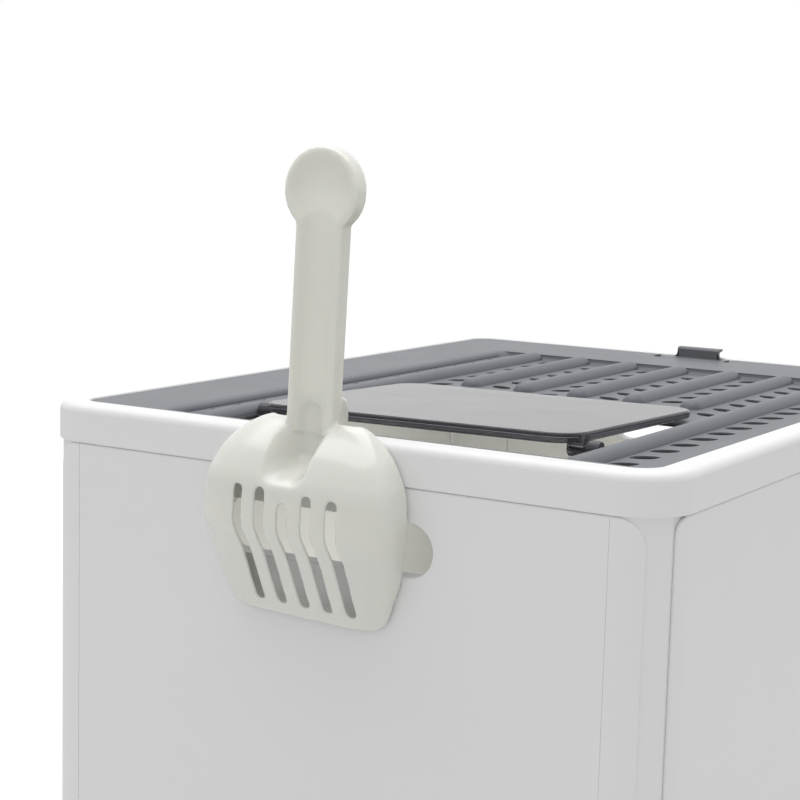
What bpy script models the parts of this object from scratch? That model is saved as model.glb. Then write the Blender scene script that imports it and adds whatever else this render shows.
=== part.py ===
"""Top-entry hooded litter box, 410 x 530 x 380 mm, with a scoop hung on its front rim.

A white top frame and a white base are held apart by four corner posts, and four flush
panels close the sides. The front panel stands over a pull-out litter pan with its own
front. A grey slotted lid drops into the top frame. It carries a smoky hatch on two pins
and a dark latch on a third. +Z is up, the front with the scoop faces -Y, and the origin
is on the floor, at the middle of the space that the whole object takes.
All lengths are in metres.
"""

import math

import bmesh
import bpy
from mathutils import Matrix

# Overall box
BOX_WIDTH = 0.410
BOX_DEPTH = 0.530
BOX_HEIGHT = 0.380
CORNER_RADIUS = 0.032
FIT_GAP = 0.0003
CUT_OVERRUN = 0.010

# Top frame: an inverted channel with a ledge for the lid
RIM_HEIGHT = 0.0225
RIM_WIDTH = 0.018
RIM_SKIN = 0.0023
RIM_OUTER_EDGE_RADIUS = 0.005
RIM_INNER_EDGE_RADIUS = 0.0015
RIM_INNER_DEPTH = 0.028
LEDGE_DEPTH = 0.0078
LEDGE_WIDTH = 0.008
LEDGE_THICKNESS = 0.0024

# Feet and base
FOOT_HEIGHT = 0.003
FOOT_RADIUS = 0.014
FOOT_INSET = 0.048
BASE_HEIGHT = 0.040
BASE_FLOOR = 0.003
BASE_SKIN = 0.0023
BASE_CHANNEL_WIDTH = 0.018

# Panels and posts
PANEL_INSET = 0.001
PANEL_THICKNESS = 0.0025
TONGUE_THICKNESS = 0.0018
TONGUE_HEIGHT = 0.012
TONGUE_ROOT = 0.008
POST_THICKNESS = 0.0025
POST_FLANGE = 0.006
STRIP_BOND = 0.0006
PANEL_CORNER_RADIUS = 0.010
STRIP_CORNER_RADIUS = 0.017
STRIP_WRAP_DEGREES = 35
SIDE_WRAP_DEGREES = 24
HAND_HOLE_WIDTH = 0.142
HAND_HOLE_HEIGHT = 0.030
HAND_HOLE_DROP = 0.0342
HAND_HOLE_COLLAR_WALL = 0.002
HAND_HOLE_COLLAR_DEPTH = 0.010

# Litter pan, its front and the guides beside it
PAN_SIDE_ROOM = 0.039
PAN_HEIGHT = 0.110
PAN_WALL = 0.0025
PAN_DRAFT = 0.006
PAN_FLANGE = 0.006
PAN_CORNER_RADIUS = 0.024
PAN_REAR_GAP = 0.003
PAN_FLOOR_FILLET = 0.012
DRAWER_FACE_HEIGHT = 0.1205
DRAWER_RETURN_DEPTH = 0.021
DRAWER_RETURN_WALL = 0.0022
DRAWER_RETURN_INSET = 0.007
DRAWER_HOLE_WIDTH = 0.110
DRAWER_HOLE_HEIGHT = 0.026
DRAWER_HOLE_DROP = 0.032
GUIDE_THICKNESS = 0.0022
GUIDE_LIP = 0.006
GUIDE_CLEARANCE = 0.0025
GUIDE_SLOPE_RISE = 0.008

# Lid: a plate with a sunk slotted floor, round-topped ribs and the entrance
LID_SIDE_GAP = 0.0007
LID_DROP = 0.001
LID_FLOOR_DROP = 0.005
LID_RIB_RISE = 0.0005
LID_RIB_WIDTH = 0.015
LID_RIB_COUNT = 7
LID_EDGE_CHANNEL = 0.0378
LID_BAND_ROUND = 0.006
LID_GRILLE_OFFSET = 0.0005
LID_LEFT_BAND = 0.049
LID_RIGHT_BAND = 0.008
LID_FRONT_BAND = 0.006
LID_REAR_BAND = 0.070
LID_FLOOR_CORNER = 0.006
RIB_END_ROUND = 0.008
RIB_END_OVERLAP = 0.004
SHORT_RIB_START = 0.2213
ENTRANCE_FRONT = 0.0103
ENTRANCE_LENGTH = 0.176
ENTRANCE_CORNER = 0.012
ENTRANCE_RIB_GAP = 0.0005
SLOT_LENGTH = 0.019
SLOT_WIDTH = 0.008
SLOT_PITCH = 0.0268
SLOT_EVEN_DEGREES = -28
SLOT_ODD_DEGREES = 46
SLOT_EVEN_OFFSET = 0.2318
SLOT_ODD_OFFSET = 0.2455
SLOT_EDGE_MARGIN = 0.006
HOOK_NOTCH_WIDTH = 0.017
HOOK_NOTCH_DEPTH = 0.0045

# Hatch over the entrance
HATCH_SIDE_GAP = 0.008
HATCH_FRONT = 0.036
HATCH_LENGTH = 0.173
HATCH_CORNER = 0.018
HATCH_SKIN = 0.0025
HATCH_SKIRT = 0.005
HATCH_TILT_DEGREES = 1.3
HATCH_AXIS_SETBACK = 0.018
HATCH_AXIS_DEPTH = 0.0035
HATCH_TOP_OVER_AXIS = 0.0072
LUG_WIDTH = 0.010
LUG_RADIUS = 0.0048
EAR_WIDTH = 0.006
EAR_RADIUS = 0.0040
EAR_BASE_DEPTH = 0.012
HATCH_PIN_RADIUS = 0.0015
PIN_CLEARANCE = 0.00008

# Latch at the rear of the lid
LATCH_CENTRE_X = 0.004
LATCH_HALF_WIDTH = 0.0255
LATCH_TAB_HALF_WIDTH = 0.0168
LATCH_TAB_OFFSET = 0.0015
LATCH_TAB_FILLET = 0.004
LATCH_PLATE = 0.0023
LATCH_AXIS_FROM_EDGE = 0.0121
LATCH_AXIS_DEPTH = 0.002
LATCH_BARREL_RADIUS = 0.002
LATCH_PIN_RADIUS = 0.0009
LATCH_PIN_REACH = 0.004
LATCH_POCKET_FRONT = 0.003
LATCH_POCKET_DEPTH = 0.0045
LATCH_POCKET_SIDE_ROOM = 0.0057
LATCH_POCKET_CORNER = 0.005
LATCH_TAB_THICKNESS = 0.0022
LATCH_TAB_RISE = 0.0084
LATCH_LIP_REACH = 0.006
LATCH_NOSE = 0.0006

# Scoop: a dished blade, a channel handle with a round end and a hook
SCOOP_WALL_GAP = 0.0006
SCOOP_CENTRE_X = -0.0026
SCOOP_SKIN = 0.0022
SCOOP_TILT_DEGREES = 2.2
SCOOP_BLADE_HEIGHT = 0.1115
SCOOP_BLADE_TOP = 0.009
SCOOP_HALF_WIDTH = 0.060
SCOOP_BULGE = 0.040
HANDLE_HALF_WIDTH = 0.0145
HANDLE_DEPTH = 0.0107
HANDLE_FOOT = 0.015
HANDLE_DISC_RADIUS = 0.0232
HANDLE_DISC_RISE = 0.1328
SCOOP_SLOT_PITCH = 0.015
SCOOP_SLOT_WIDTH = 0.006
HOOK_HALF_WIDTH = 0.006
HOOK_HEIGHT = 0.0205
HOOK_LEG_THICKNESS = 0.0022
HOOK_LEG_DROP = 0.014
HOOK_CORNER_RADIUS = 0.009

# Scoop blade sections from its lip upwards: height, half width and bulge as shares
BLADE_SECTION_SHARES = (
    (0.00, 0.66, 0.22),
    (0.03, 0.73, 0.28),
    (0.10, 0.80, 0.38),
    (0.20, 0.86, 0.58),
    (0.31, 0.92, 0.80),
    (0.41, 0.97, 0.96),
    (0.51, 1.00, 1.00),
    (0.63, 1.00, 0.98),
    (0.75, 0.95, 0.88),
    (0.85, 0.85, 0.71),
    (0.93, 0.71, 0.48),
    (0.98, 0.57, 0.26),
    (1.00, 0.46, 0.10),
)
# Slots in the blade: height of their tops and of their foot as shares of the blade's height
SLOT_TOP_SHARES = (0.70, 0.69, 0.63, 0.67, 0.685)
SLOT_FOOT_SHARE = 0.14
# Groove in the blade where the handle runs in
GROOVE_FOOT_SHARE = 0.62
GROOVE_RAMP_SHARE = 0.18
GROOVE_FOOT_HALF_WIDTH = 0.005
GROOVE_TOP_HALF_WIDTH = 0.011
GROOVE_WALL_WIDTH = 0.017
BLADE_ROWS = 26
BLADE_COLUMNS = 36

# Share of a lid slot's half length at which its sides are three quarters of full width
SLOT_SHOULDER_SHARE = 0.55
ARC_STEPS = 10
POST_STEPS = 12

# Sizes worked out from the ones above
SEAM_TOP = BOX_HEIGHT - RIM_HEIGHT
BASE_BOTTOM = FOOT_HEIGHT + FIT_GAP
BASE_TOP = BASE_BOTTOM + BASE_HEIGHT
FLOOR_TOP = BASE_BOTTOM + BASE_FLOOR
CORNER_X = BOX_WIDTH / 2 - CORNER_RADIUS
CORNER_Y = BOX_DEPTH / 2 - CORNER_RADIUS
POST_INSET = PANEL_INSET + PANEL_THICKNESS + FIT_GAP
DRAWER_BOTTOM = FLOOR_TOP + FIT_GAP
DRAWER_TOP = DRAWER_BOTTOM + DRAWER_FACE_HEIGHT
LEDGE_TOP = BOX_HEIGHT - LEDGE_DEPTH
LID_BOTTOM = LEDGE_TOP + FIT_GAP
LID_TOP = BOX_HEIGHT - LID_DROP
LID_FLOOR = BOX_HEIGHT - LID_FLOOR_DROP
LID_HALF_X = BOX_WIDTH / 2 - RIM_WIDTH - LID_SIDE_GAP
LID_HALF_Y = BOX_DEPTH / 2 - RIM_WIDTH - LID_SIDE_GAP
PAN_HALF_WIDTH = BOX_WIDTH / 2 - PAN_SIDE_ROOM
LID_GRILLE_CENTRE_X = (LID_LEFT_BAND - LID_RIGHT_BAND) / 2 - LID_GRILLE_OFFSET
LID_GRILLE_WIDTH = 2 * LID_HALF_X - LID_LEFT_BAND - LID_RIGHT_BAND
LID_RIB_PITCH = (LID_GRILLE_WIDTH - 2 * LID_EDGE_CHANNEL) / (LID_RIB_COUNT - 1)
RIB_TOP = BOX_HEIGHT + LID_RIB_RISE
OUTER_RIB_OFFSET = LID_RIB_PITCH * (LID_RIB_COUNT - 1) / 2
ENTRANCE_HALF = OUTER_RIB_OFFSET - LID_RIB_WIDTH / 2 - ENTRANCE_RIB_GAP
ENTRANCE_Y = -LID_HALF_Y + ENTRANCE_FRONT
HATCH_HALF = ENTRANCE_HALF - HATCH_SIDE_GAP
HATCH_FRONT_Y = -LID_HALF_Y + HATCH_FRONT
HATCH_AXIS_Y = HATCH_FRONT_Y + HATCH_AXIS_SETBACK
HATCH_AXIS_Z = BOX_HEIGHT - HATCH_AXIS_DEPTH
LATCH_AXIS_Y = LID_HALF_Y - LATCH_AXIS_FROM_EDGE
LATCH_AXIS_Z = LID_TOP - LATCH_AXIS_DEPTH
SCOOP_FACE_Y = -BOX_DEPTH / 2 - SCOOP_WALL_GAP
SCOOP_REACH = SCOOP_WALL_GAP + SCOOP_BULGE
ORIGIN_SHIFT_Y = SCOOP_REACH / 2

WHITE = ("white_plastic", (0.86, 0.87, 0.87), 0.38)
GREY = ("grey_plastic", (0.30, 0.32, 0.36), 0.50)
DARK = ("dark_grey_plastic", (0.075, 0.08, 0.09), 0.45)
SMOKE = ("smoke_plastic", (0.22, 0.22, 0.23), 0.12)
CREAM = ("cream_plastic", (0.83, 0.83, 0.78), 0.35)
STEEL = ("steel", (0.60, 0.60, 0.61), 0.30)
RUBBER = ("rubber", (0.12, 0.12, 0.12), 0.80)


def clear_scene():
    for item in list(bpy.data.objects):
        bpy.data.objects.remove(item, do_unlink=True)


def new_collection(name):
    collection = bpy.data.collections.new(name)
    bpy.context.scene.collection.children.link(collection)
    return collection


def material(finish):
    name, colour, roughness = finish
    found = bpy.data.materials.get(name)
    if found:
        return found
    made = bpy.data.materials.new(name)
    made.use_nodes = True
    shader = made.node_tree.nodes["Principled BSDF"]
    shader.inputs["Base Color"].default_value = (*colour, 1.0)
    shader.inputs["Roughness"].default_value = roughness
    shader.inputs["Metallic"].default_value = 1.0 if name == "steel" else 0.0
    return made


clear_scene()
PARTS = new_collection("litter_box")
CUTTERS = new_collection("cutters")


def add_mesh(name, mesh_builder, finish=None):
    """Put a bmesh into the scene: a part if it has a finish, otherwise a cutter."""
    bmesh.ops.remove_doubles(mesh_builder, verts=mesh_builder.verts, dist=1e-7)
    bmesh.ops.recalc_face_normals(mesh_builder, faces=mesh_builder.faces)
    mesh = bpy.data.meshes.new(name)
    mesh_builder.to_mesh(mesh)
    mesh_builder.free()
    item = bpy.data.objects.new(name, mesh)
    if finish:
        mesh.materials.append(material(finish))
        PARTS.objects.link(item)
    else:
        CUTTERS.objects.link(item)
        item.hide_render = True
        item.display_type = "WIRE"
    return item


def loft(name, rings, finish=None, closed=False):
    """Skin a row of rings with equal point counts, capped unless the row closes on itself."""
    shape = bmesh.new()
    rows = [[shape.verts.new(point) for point in ring] for ring in rings]
    count = len(rows[0])
    pairs = list(zip(rows, rows[1:]))
    if closed:
        pairs.append((rows[-1], rows[0]))
    for low, high in pairs:
        for i in range(count):
            j = (i + 1) % count
            shape.faces.new((low[i], low[j], high[j], high[i]))
    if not closed:
        shape.faces.new(rows[0])
        shape.faces.new(rows[-1])
    return add_mesh(name, shape, finish)


def box(name, low, high, finish=None):
    """A box from its low corner to its high corner."""
    shape = bmesh.new()
    bmesh.ops.create_cube(shape, size=1.0)
    spans = [b - a for a, b in zip(low, high)]
    middle = [(a + b) / 2 for a, b in zip(low, high)]
    bmesh.ops.transform(shape, matrix=Matrix.Translation(middle) @ Matrix.Diagonal((*spans, 1.0)),
                        verts=shape.verts)
    return add_mesh(name, shape, finish)


def rod(name, axis, centre, radius, length, finish=None, segments=20):
    """A cylinder along X, Y or Z about its centre."""
    shape = bmesh.new()
    bmesh.ops.create_cone(shape, cap_ends=True, segments=segments, radius1=radius, radius2=radius,
                          depth=length)
    turn = {"X": Matrix.Rotation(math.pi / 2, 4, "Y"), "Y": Matrix.Rotation(math.pi / 2, 4, "X"),
            "Z": Matrix.Identity(4)}[axis]
    bmesh.ops.transform(shape, matrix=Matrix.Translation(centre) @ turn, verts=shape.verts)
    return add_mesh(name, shape, finish)


def prism(name, outline, axis, start, end, finish=None):
    """A flat outline pushed along one axis. Its points lie in the other two axes, in XYZ order."""
    def place(a, b, along):
        return {"X": (along, a, b), "Y": (a, along, b), "Z": (a, b, along)}[axis]
    rings = [[place(a, b, along) for a, b in outline] for along in (start, end)]
    return loft(name, rings, finish)


def arc(centre_a, centre_b, radius, start_degrees, end_degrees, steps=ARC_STEPS):
    points = []
    for i in range(steps + 1):
        angle = math.radians(start_degrees + (end_degrees - start_degrees) * i / steps)
        points.append((centre_a + radius * math.cos(angle), centre_b + radius * math.sin(angle)))
    return points


def rounded_outline(low, high, radius, steps=ARC_STEPS):
    """Outline of a rectangle with round corners, anticlockwise."""
    (x0, y0), (x1, y1) = low, high
    points = []
    for cx, cy, start in ((x1 - radius, y0 + radius, -90), (x1 - radius, y1 - radius, 0),
                          (x0 + radius, y1 - radius, 90), (x0 + radius, y0 + radius, 180)):
        points += arc(cx, cy, radius, start, start + 90, steps)
    return points


def stadium(centre_a, centre_b, width, height, steps=8):
    """Outline of a slot with half-round ends."""
    radius = height / 2
    reach = width / 2 - radius
    return (arc(centre_a + reach, centre_b, radius, -90, 90, steps)
            + arc(centre_a - reach, centre_b, radius, 90, 270, steps))


def box_loop(inset, height, steps=ARC_STEPS):
    """The box's outer outline drawn in by an inset, at a height."""
    half_x, half_y = BOX_WIDTH / 2 - inset, BOX_DEPTH / 2 - inset
    outline = rounded_outline((-half_x, -half_y), (half_x, half_y), CORNER_RADIUS - inset, steps)
    return [(x, y, height) for x, y in outline]


def apply_modifiers(item):
    """Bake an object's modifiers into its mesh."""
    graph = bpy.context.evaluated_depsgraph_get()
    baked = bpy.data.meshes.new_from_object(item.evaluated_get(graph))
    item.modifiers.clear()
    item.data = baked


def combine(item, other, operation):
    """Boolean of two objects, applied at once. The second object is used up."""
    step = item.modifiers.new(operation.lower(), "BOOLEAN")
    step.operation = operation
    step.solver = "EXACT"
    step.object = other
    apply_modifiers(item)
    bpy.data.objects.remove(other, do_unlink=True)


def cut(item, *others):
    for other in others:
        combine(item, other, "DIFFERENCE")


def join(item, *others):
    for other in others:
        combine(item, other, "UNION")


def smooth(item, degrees=35):
    item.data.shade_smooth()
    item.data.set_sharp_from_angle(angle=math.radians(degrees))


def make_top_frame():
    """Inverted channel all round, with the ledge inside that carries the lid."""
    edge, inner = RIM_OUTER_EDGE_RADIUS, RIM_INNER_EDGE_RADIUS
    profile = [(0.0, SEAM_TOP)]
    profile += [(edge - edge * math.cos(a), BOX_HEIGHT - edge + edge * math.sin(a))
                for a in (math.radians(90 * i / 4) for i in range(5))]
    profile += [(RIM_WIDTH - inner + inner * math.sin(a), BOX_HEIGHT - inner + inner * math.cos(a))
                for a in (math.radians(90 * i / 2) for i in range(3))]
    profile += [
        (RIM_WIDTH, LEDGE_TOP),
        (RIM_WIDTH + LEDGE_WIDTH, LEDGE_TOP),
        (RIM_WIDTH + LEDGE_WIDTH, LEDGE_TOP - LEDGE_THICKNESS),
        (RIM_WIDTH, LEDGE_TOP - LEDGE_THICKNESS),
        (RIM_WIDTH, BOX_HEIGHT - RIM_INNER_DEPTH),
        (RIM_WIDTH - RIM_SKIN, BOX_HEIGHT - RIM_INNER_DEPTH),
        (RIM_WIDTH - RIM_SKIN, BOX_HEIGHT - RIM_SKIN),
        (RIM_SKIN, BOX_HEIGHT - RIM_SKIN),
        (RIM_SKIN, SEAM_TOP),
    ]
    frame = loft("top_frame", [box_loop(inset, z) for inset, z in profile], WHITE, closed=True)
    relief_y = -BOX_DEPTH / 2 + RIM_WIDTH
    relief_low = (SCOOP_CENTRE_X - HOOK_NOTCH_WIDTH / 2, relief_y, LEDGE_TOP - LEDGE_THICKNESS - CUT_OVERRUN)
    relief_high = (SCOOP_CENTRE_X + HOOK_NOTCH_WIDTH / 2, relief_y + LEDGE_WIDTH + CUT_OVERRUN,
                   LEDGE_TOP + CUT_OVERRUN / 2)
    cut(frame, box("hook_relief", relief_low, relief_high))
    smooth(frame)
    return frame


def make_base():
    """Floor with an upright channel on three sides, open at the front for the drawer."""
    slab = loft("base", [box_loop(0.0, BASE_BOTTOM), box_loop(0.0, BASE_TOP)], WHITE)
    well_inset = BASE_CHANNEL_WIDTH
    well = loft("well", [box_loop(well_inset, FLOOR_TOP), box_loop(well_inset, BASE_TOP + CUT_OVERRUN)])
    channel = loft("channel", [
        box_loop(BASE_SKIN, FLOOR_TOP),
        box_loop(BASE_SKIN, BASE_TOP + CUT_OVERRUN),
        box_loop(BASE_CHANNEL_WIDTH - BASE_SKIN, BASE_TOP + CUT_OVERRUN),
        box_loop(BASE_CHANNEL_WIDTH - BASE_SKIN, FLOOR_TOP),
    ], closed=True)
    mouth = box("mouth", (-CORNER_X, -BOX_DEPTH / 2 - CUT_OVERRUN, FLOOR_TOP),
                (CORNER_X, -BOX_DEPTH / 2 + BASE_CHANNEL_WIDTH + CUT_OVERRUN, BASE_TOP + CUT_OVERRUN))
    cut(slab, well, channel, mouth)
    smooth(slab)
    return slab


def make_feet():
    feet = []
    for side_x, side_y, name in ((-1, -1, "foot_front_left"), (1, -1, "foot_front_right"),
                                 (-1, 1, "foot_rear_left"), (1, 1, "foot_rear_right")):
        centre = (side_x * (BOX_WIDTH / 2 - FOOT_INSET), side_y * (BOX_DEPTH / 2 - FOOT_INSET),
                  FOOT_HEIGHT / 2)
        foot = rod(name, "Z", centre, FOOT_RADIUS, FOOT_HEIGHT, RUBBER, 24)
        smooth(foot)
        feet.append(foot)
    return feet


def end_panel(name, side_y, low, holes):
    """Flat panel of a short side, with a tongue up into the top frame."""
    face = side_y * (BOX_DEPTH / 2 - PANEL_INSET)
    back = side_y * (BOX_DEPTH / 2 - PANEL_INSET - PANEL_THICKNESS)
    half = CORNER_X - FIT_GAP
    high = SEAM_TOP - FIT_GAP
    panel = box(name, (-half, min(face, back), low), (half, max(face, back), high), WHITE)
    tongue_face = side_y * (BOX_DEPTH / 2 - RIM_SKIN - FIT_GAP)
    tongue_back = tongue_face - side_y * TONGUE_THICKNESS
    tongue_half = CORNER_X - POST_FLANGE - 2 * FIT_GAP
    join(panel, box("tongue", (-tongue_half, min(tongue_face, tongue_back), high - TONGUE_ROOT),
                    (tongue_half, max(tongue_face, tongue_back), high + TONGUE_HEIGHT)))
    if low < BASE_TOP + TONGUE_HEIGHT:
        join(panel, box("foot_tongue", (-tongue_half, min(tongue_face, tongue_back), low - TONGUE_HEIGHT),
                        (tongue_half, max(tongue_face, tongue_back), low + TONGUE_ROOT)))
    for width, height, centre_z in holes:
        wall = HAND_HOLE_COLLAR_WALL
        collar_back = back - side_y * HAND_HOLE_COLLAR_DEPTH
        collar = prism("collar", stadium(0.0, centre_z, width + 2 * wall, height + 2 * wall), "Y",
                       (face + back) / 2, collar_back)
        join(panel, collar)
        cut(panel, prism("hand_hole", stadium(0.0, centre_z, width, height), "Y",
                         face + side_y * CUT_OVERRUN, collar_back - side_y * CUT_OVERRUN))
    smooth(panel)
    return panel


def make_end_panels():
    hole = (HAND_HOLE_WIDTH, HAND_HOLE_HEIGHT, SEAM_TOP - HAND_HOLE_DROP)
    front = end_panel("front_panel", -1, DRAWER_TOP + 2 * FIT_GAP, [hole])
    rear = end_panel("rear_panel", 1, BASE_TOP + FIT_GAP, [hole])
    return front, rear


def corner_point(inset, degrees, side_x, side_y):
    """Point on a corner's arc. Zero degrees looks to the long side, 90 to the short side."""
    radius = CORNER_RADIUS - inset
    angle = math.radians(degrees)
    return (side_x * (CORNER_X + radius * math.cos(angle)), side_y * (CORNER_Y + radius * math.sin(angle)))


def corner_drop(distance, radius):
    """How far a rounded corner lies below its edge, at a distance from the side."""
    if distance >= radius:
        return 0.0
    return radius - math.sqrt(radius * radius - (radius - distance) ** 2)


def wrapped_columns(side_x, side_y, outer, inner, angles, low, high, free_end, radius):
    """Rings of four points up a curved wall, whose corners at one side are rounded."""
    rings = []
    for degrees in angles:
        distance = abs(math.radians(free_end - degrees)) * (CORNER_RADIUS - outer)
        drop = corner_drop(distance, radius)
        ox, oy = corner_point(outer, degrees, side_x, side_y)
        ix, iy = corner_point(inner, degrees, side_x, side_y)
        rings.append([(ox, oy, low + drop), (ox, oy, high - drop),
                      (ix, iy, high - drop), (ix, iy, low + drop)])
    return rings


def make_side_panel(name, side_x):
    """Proud panel of a long side, which wraps a little way round both corners."""
    outer, inner = PANEL_INSET, PANEL_INSET + PANEL_THICKNESS
    low, high = BASE_TOP + FIT_GAP, SEAM_TOP - FIT_GAP
    steps = 8
    angles = [SIDE_WRAP_DEGREES * (1 - i / steps) for i in range(steps + 1)]
    front = wrapped_columns(side_x, -1, outer, inner, angles, low, high, SIDE_WRAP_DEGREES, PANEL_CORNER_RADIUS)
    rear = wrapped_columns(side_x, 1, outer, inner, angles, low, high, SIDE_WRAP_DEGREES, PANEL_CORNER_RADIUS)
    panel = loft(name, front + rear[::-1], WHITE)
    tongue_outer = RIM_SKIN + FIT_GAP
    x_out = side_x * (BOX_WIDTH / 2 - tongue_outer)
    x_in = x_out - side_x * TONGUE_THICKNESS
    half = CORNER_Y - POST_FLANGE - 2 * FIT_GAP
    for start, end in ((high - TONGUE_ROOT, high + TONGUE_HEIGHT), (low - TONGUE_HEIGHT, low + TONGUE_ROOT)):
        join(panel, box("tongue", (min(x_out, x_in), -half, start), (max(x_out, x_in), half, end)))
    smooth(panel)
    return panel


def make_post(name, side_x, side_y):
    """Corner post: a curved angle with a proud strip beside the end panel."""
    outer, inner = POST_INSET, POST_INSET + POST_THICKNESS
    low, high = FLOOR_TOP + FIT_GAP, BOX_HEIGHT - RIM_SKIN - FIT_GAP
    plan_outer = [(side_x * (CORNER_X + CORNER_RADIUS - outer), side_y * (CORNER_Y - POST_FLANGE))]
    plan_inner = [(side_x * (CORNER_X + CORNER_RADIUS - inner), side_y * (CORNER_Y - POST_FLANGE))]
    for i in range(POST_STEPS + 1):
        degrees = 90 * i / POST_STEPS
        plan_outer.append(corner_point(outer, degrees, side_x, side_y))
        plan_inner.append(corner_point(inner, degrees, side_x, side_y))
    plan_outer.append((side_x * (CORNER_X - POST_FLANGE), side_y * (CORNER_Y + CORNER_RADIUS - outer)))
    plan_inner.append((side_x * (CORNER_X - POST_FLANGE), side_y * (CORNER_Y + CORNER_RADIUS - inner)))
    rings = [[(ox, oy, low), (ox, oy, high), (ix, iy, high), (ix, iy, low)]
             for (ox, oy), (ix, iy) in zip(plan_outer, plan_inner)]
    post = loft(name, rings, WHITE)
    free_end = 90 - STRIP_WRAP_DEGREES
    steps = 8
    angles = [free_end + STRIP_WRAP_DEGREES * i / steps for i in range(steps + 1)]
    columns = wrapped_columns(side_x, side_y, PANEL_INSET, POST_INSET + STRIP_BOND, angles,
                              BASE_TOP + FIT_GAP, SEAM_TOP - FIT_GAP, free_end, STRIP_CORNER_RADIUS)
    join(post, loft("strip", columns))
    smooth(post)
    return post


def pan_outline(inset, centre_y, half_y):
    half_x = PAN_HALF_WIDTH - inset
    return rounded_outline((-half_x, centre_y - half_y + inset), (half_x, centre_y + half_y - inset),
                           PAN_CORNER_RADIUS - inset)


def make_litter_pan():
    """Deep pan with sloping walls and a flange, pulled out by its front."""
    front = -BOX_DEPTH / 2 + PANEL_INSET + PANEL_THICKNESS + DRAWER_RETURN_DEPTH + FIT_GAP
    rear = BOX_DEPTH / 2 - BASE_CHANNEL_WIDTH - PAN_REAR_GAP
    centre_y, half_y = (front + rear) / 2, (rear - front) / 2
    low = FLOOR_TOP + FIT_GAP
    high = low + PAN_HEIGHT
    rows = [
        (PAN_FLANGE + PAN_DRAFT + PAN_WALL, low),
        (PAN_FLANGE + PAN_DRAFT, low + PAN_WALL),
        (PAN_FLANGE, high - PAN_WALL),
        (0.0, high - PAN_WALL),
        (0.0, high),
        (PAN_FLANGE + PAN_WALL, high),
        (PAN_FLANGE + PAN_DRAFT + PAN_WALL, low + PAN_WALL + PAN_FLOOR_FILLET),
        (PAN_FLANGE + PAN_DRAFT + PAN_WALL + PAN_FLOOR_FILLET / 2, low + PAN_WALL),
    ]
    rings = [[(x, y, z) for x, y in pan_outline(inset, centre_y, half_y)] for inset, z in rows]
    pan = loft("litter_pan", rings, GREY)
    smooth(pan)
    return pan


def make_drawer_front():
    """White front of the pan: a face with a hand hole and a return wall behind it."""
    face = -BOX_DEPTH / 2 + PANEL_INSET
    back = face + PANEL_THICKNESS
    half = CORNER_X - FIT_GAP
    front = box("drawer_front", (-half, face, DRAWER_BOTTOM), (half, back, DRAWER_TOP), WHITE)
    inset = DRAWER_RETURN_INSET
    low = (-CORNER_X + inset, DRAWER_BOTTOM + FIT_GAP)
    high = (CORNER_X - inset, DRAWER_TOP - inset / 2)
    wall = DRAWER_RETURN_WALL
    skirt = prism("return_wall", rounded_outline(low, high, inset, 4), "Y", (face + back) / 2,
                  back + DRAWER_RETURN_DEPTH)
    hollow = prism("return_hollow", rounded_outline((low[0] + wall, low[1] + wall),
                                                    (high[0] - wall, high[1] - wall), inset - wall, 4),
                   "Y", back, back + DRAWER_RETURN_DEPTH + CUT_OVERRUN)
    join(front, skirt)
    cut(front, hollow)
    hole = stadium(0.0, DRAWER_TOP - DRAWER_HOLE_DROP, DRAWER_HOLE_WIDTH, DRAWER_HOLE_HEIGHT)
    cut(front, prism("pull_hole", hole, "Y", face - CUT_OVERRUN, back + FIT_GAP))
    smooth(front)
    return front


def make_guide(name, side_x):
    """Rail beside the pan, with a sloping shelf out to the side panel and a lip over the flange."""
    leg = PAN_HALF_WIDTH + GUIDE_CLEARANCE
    reach = BOX_WIDTH / 2 - PANEL_INSET - PANEL_THICKNESS - 2 * FIT_GAP
    low = FLOOR_TOP + FIT_GAP
    lip = low + PAN_HEIGHT + GUIDE_CLEARANCE
    top = lip + GUIDE_THICKNESS
    section = [
        (leg, low),
        (leg + GUIDE_THICKNESS, low),
        (leg + GUIDE_THICKNESS, lip),
        (reach, lip + GUIDE_SLOPE_RISE),
        (reach, top + GUIDE_SLOPE_RISE),
        (leg + GUIDE_THICKNESS, top),
        (leg - GUIDE_CLEARANCE - GUIDE_LIP, top),
        (leg - GUIDE_CLEARANCE - GUIDE_LIP, lip),
        (leg, lip),
    ]
    outline = [(side_x * x, z) for x, z in section]
    end = CORNER_Y - POST_FLANGE - 2 * FIT_GAP
    guide = prism(name, outline, "Y", -end, end, WHITE)
    return guide


def rib(name, x, start_y, end_y):
    """Half-round bar on the lid's floor, rounded off at its front end."""
    stations = [(start_y, 0.15), (start_y + RIB_END_ROUND * 0.12, 0.5), (start_y + RIB_END_ROUND * 0.4, 0.82),
                (start_y + RIB_END_ROUND, 1.0), (end_y - RIB_END_ROUND, 1.0),
                (end_y - RIB_END_ROUND * 0.4, 0.82), (end_y - RIB_END_ROUND * 0.12, 0.5), (end_y, 0.15)]
    sink = (LID_FLOOR - LID_BOTTOM) / 2
    rings = []
    for y, share in stations:
        half, rise = LID_RIB_WIDTH / 2, (RIB_TOP - LID_FLOOR) * share
        ring = [(x - half, y, LID_FLOOR - sink), (x + half, y, LID_FLOOR - sink)]
        for i in range(1, 9):
            angle = math.pi * (i - 0.5) / 8
            ring.append((x + half * math.cos(angle), y, LID_FLOOR + rise * math.sin(angle) ** 0.7))
        rings.append(ring)
    return loft(name, rings)


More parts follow.
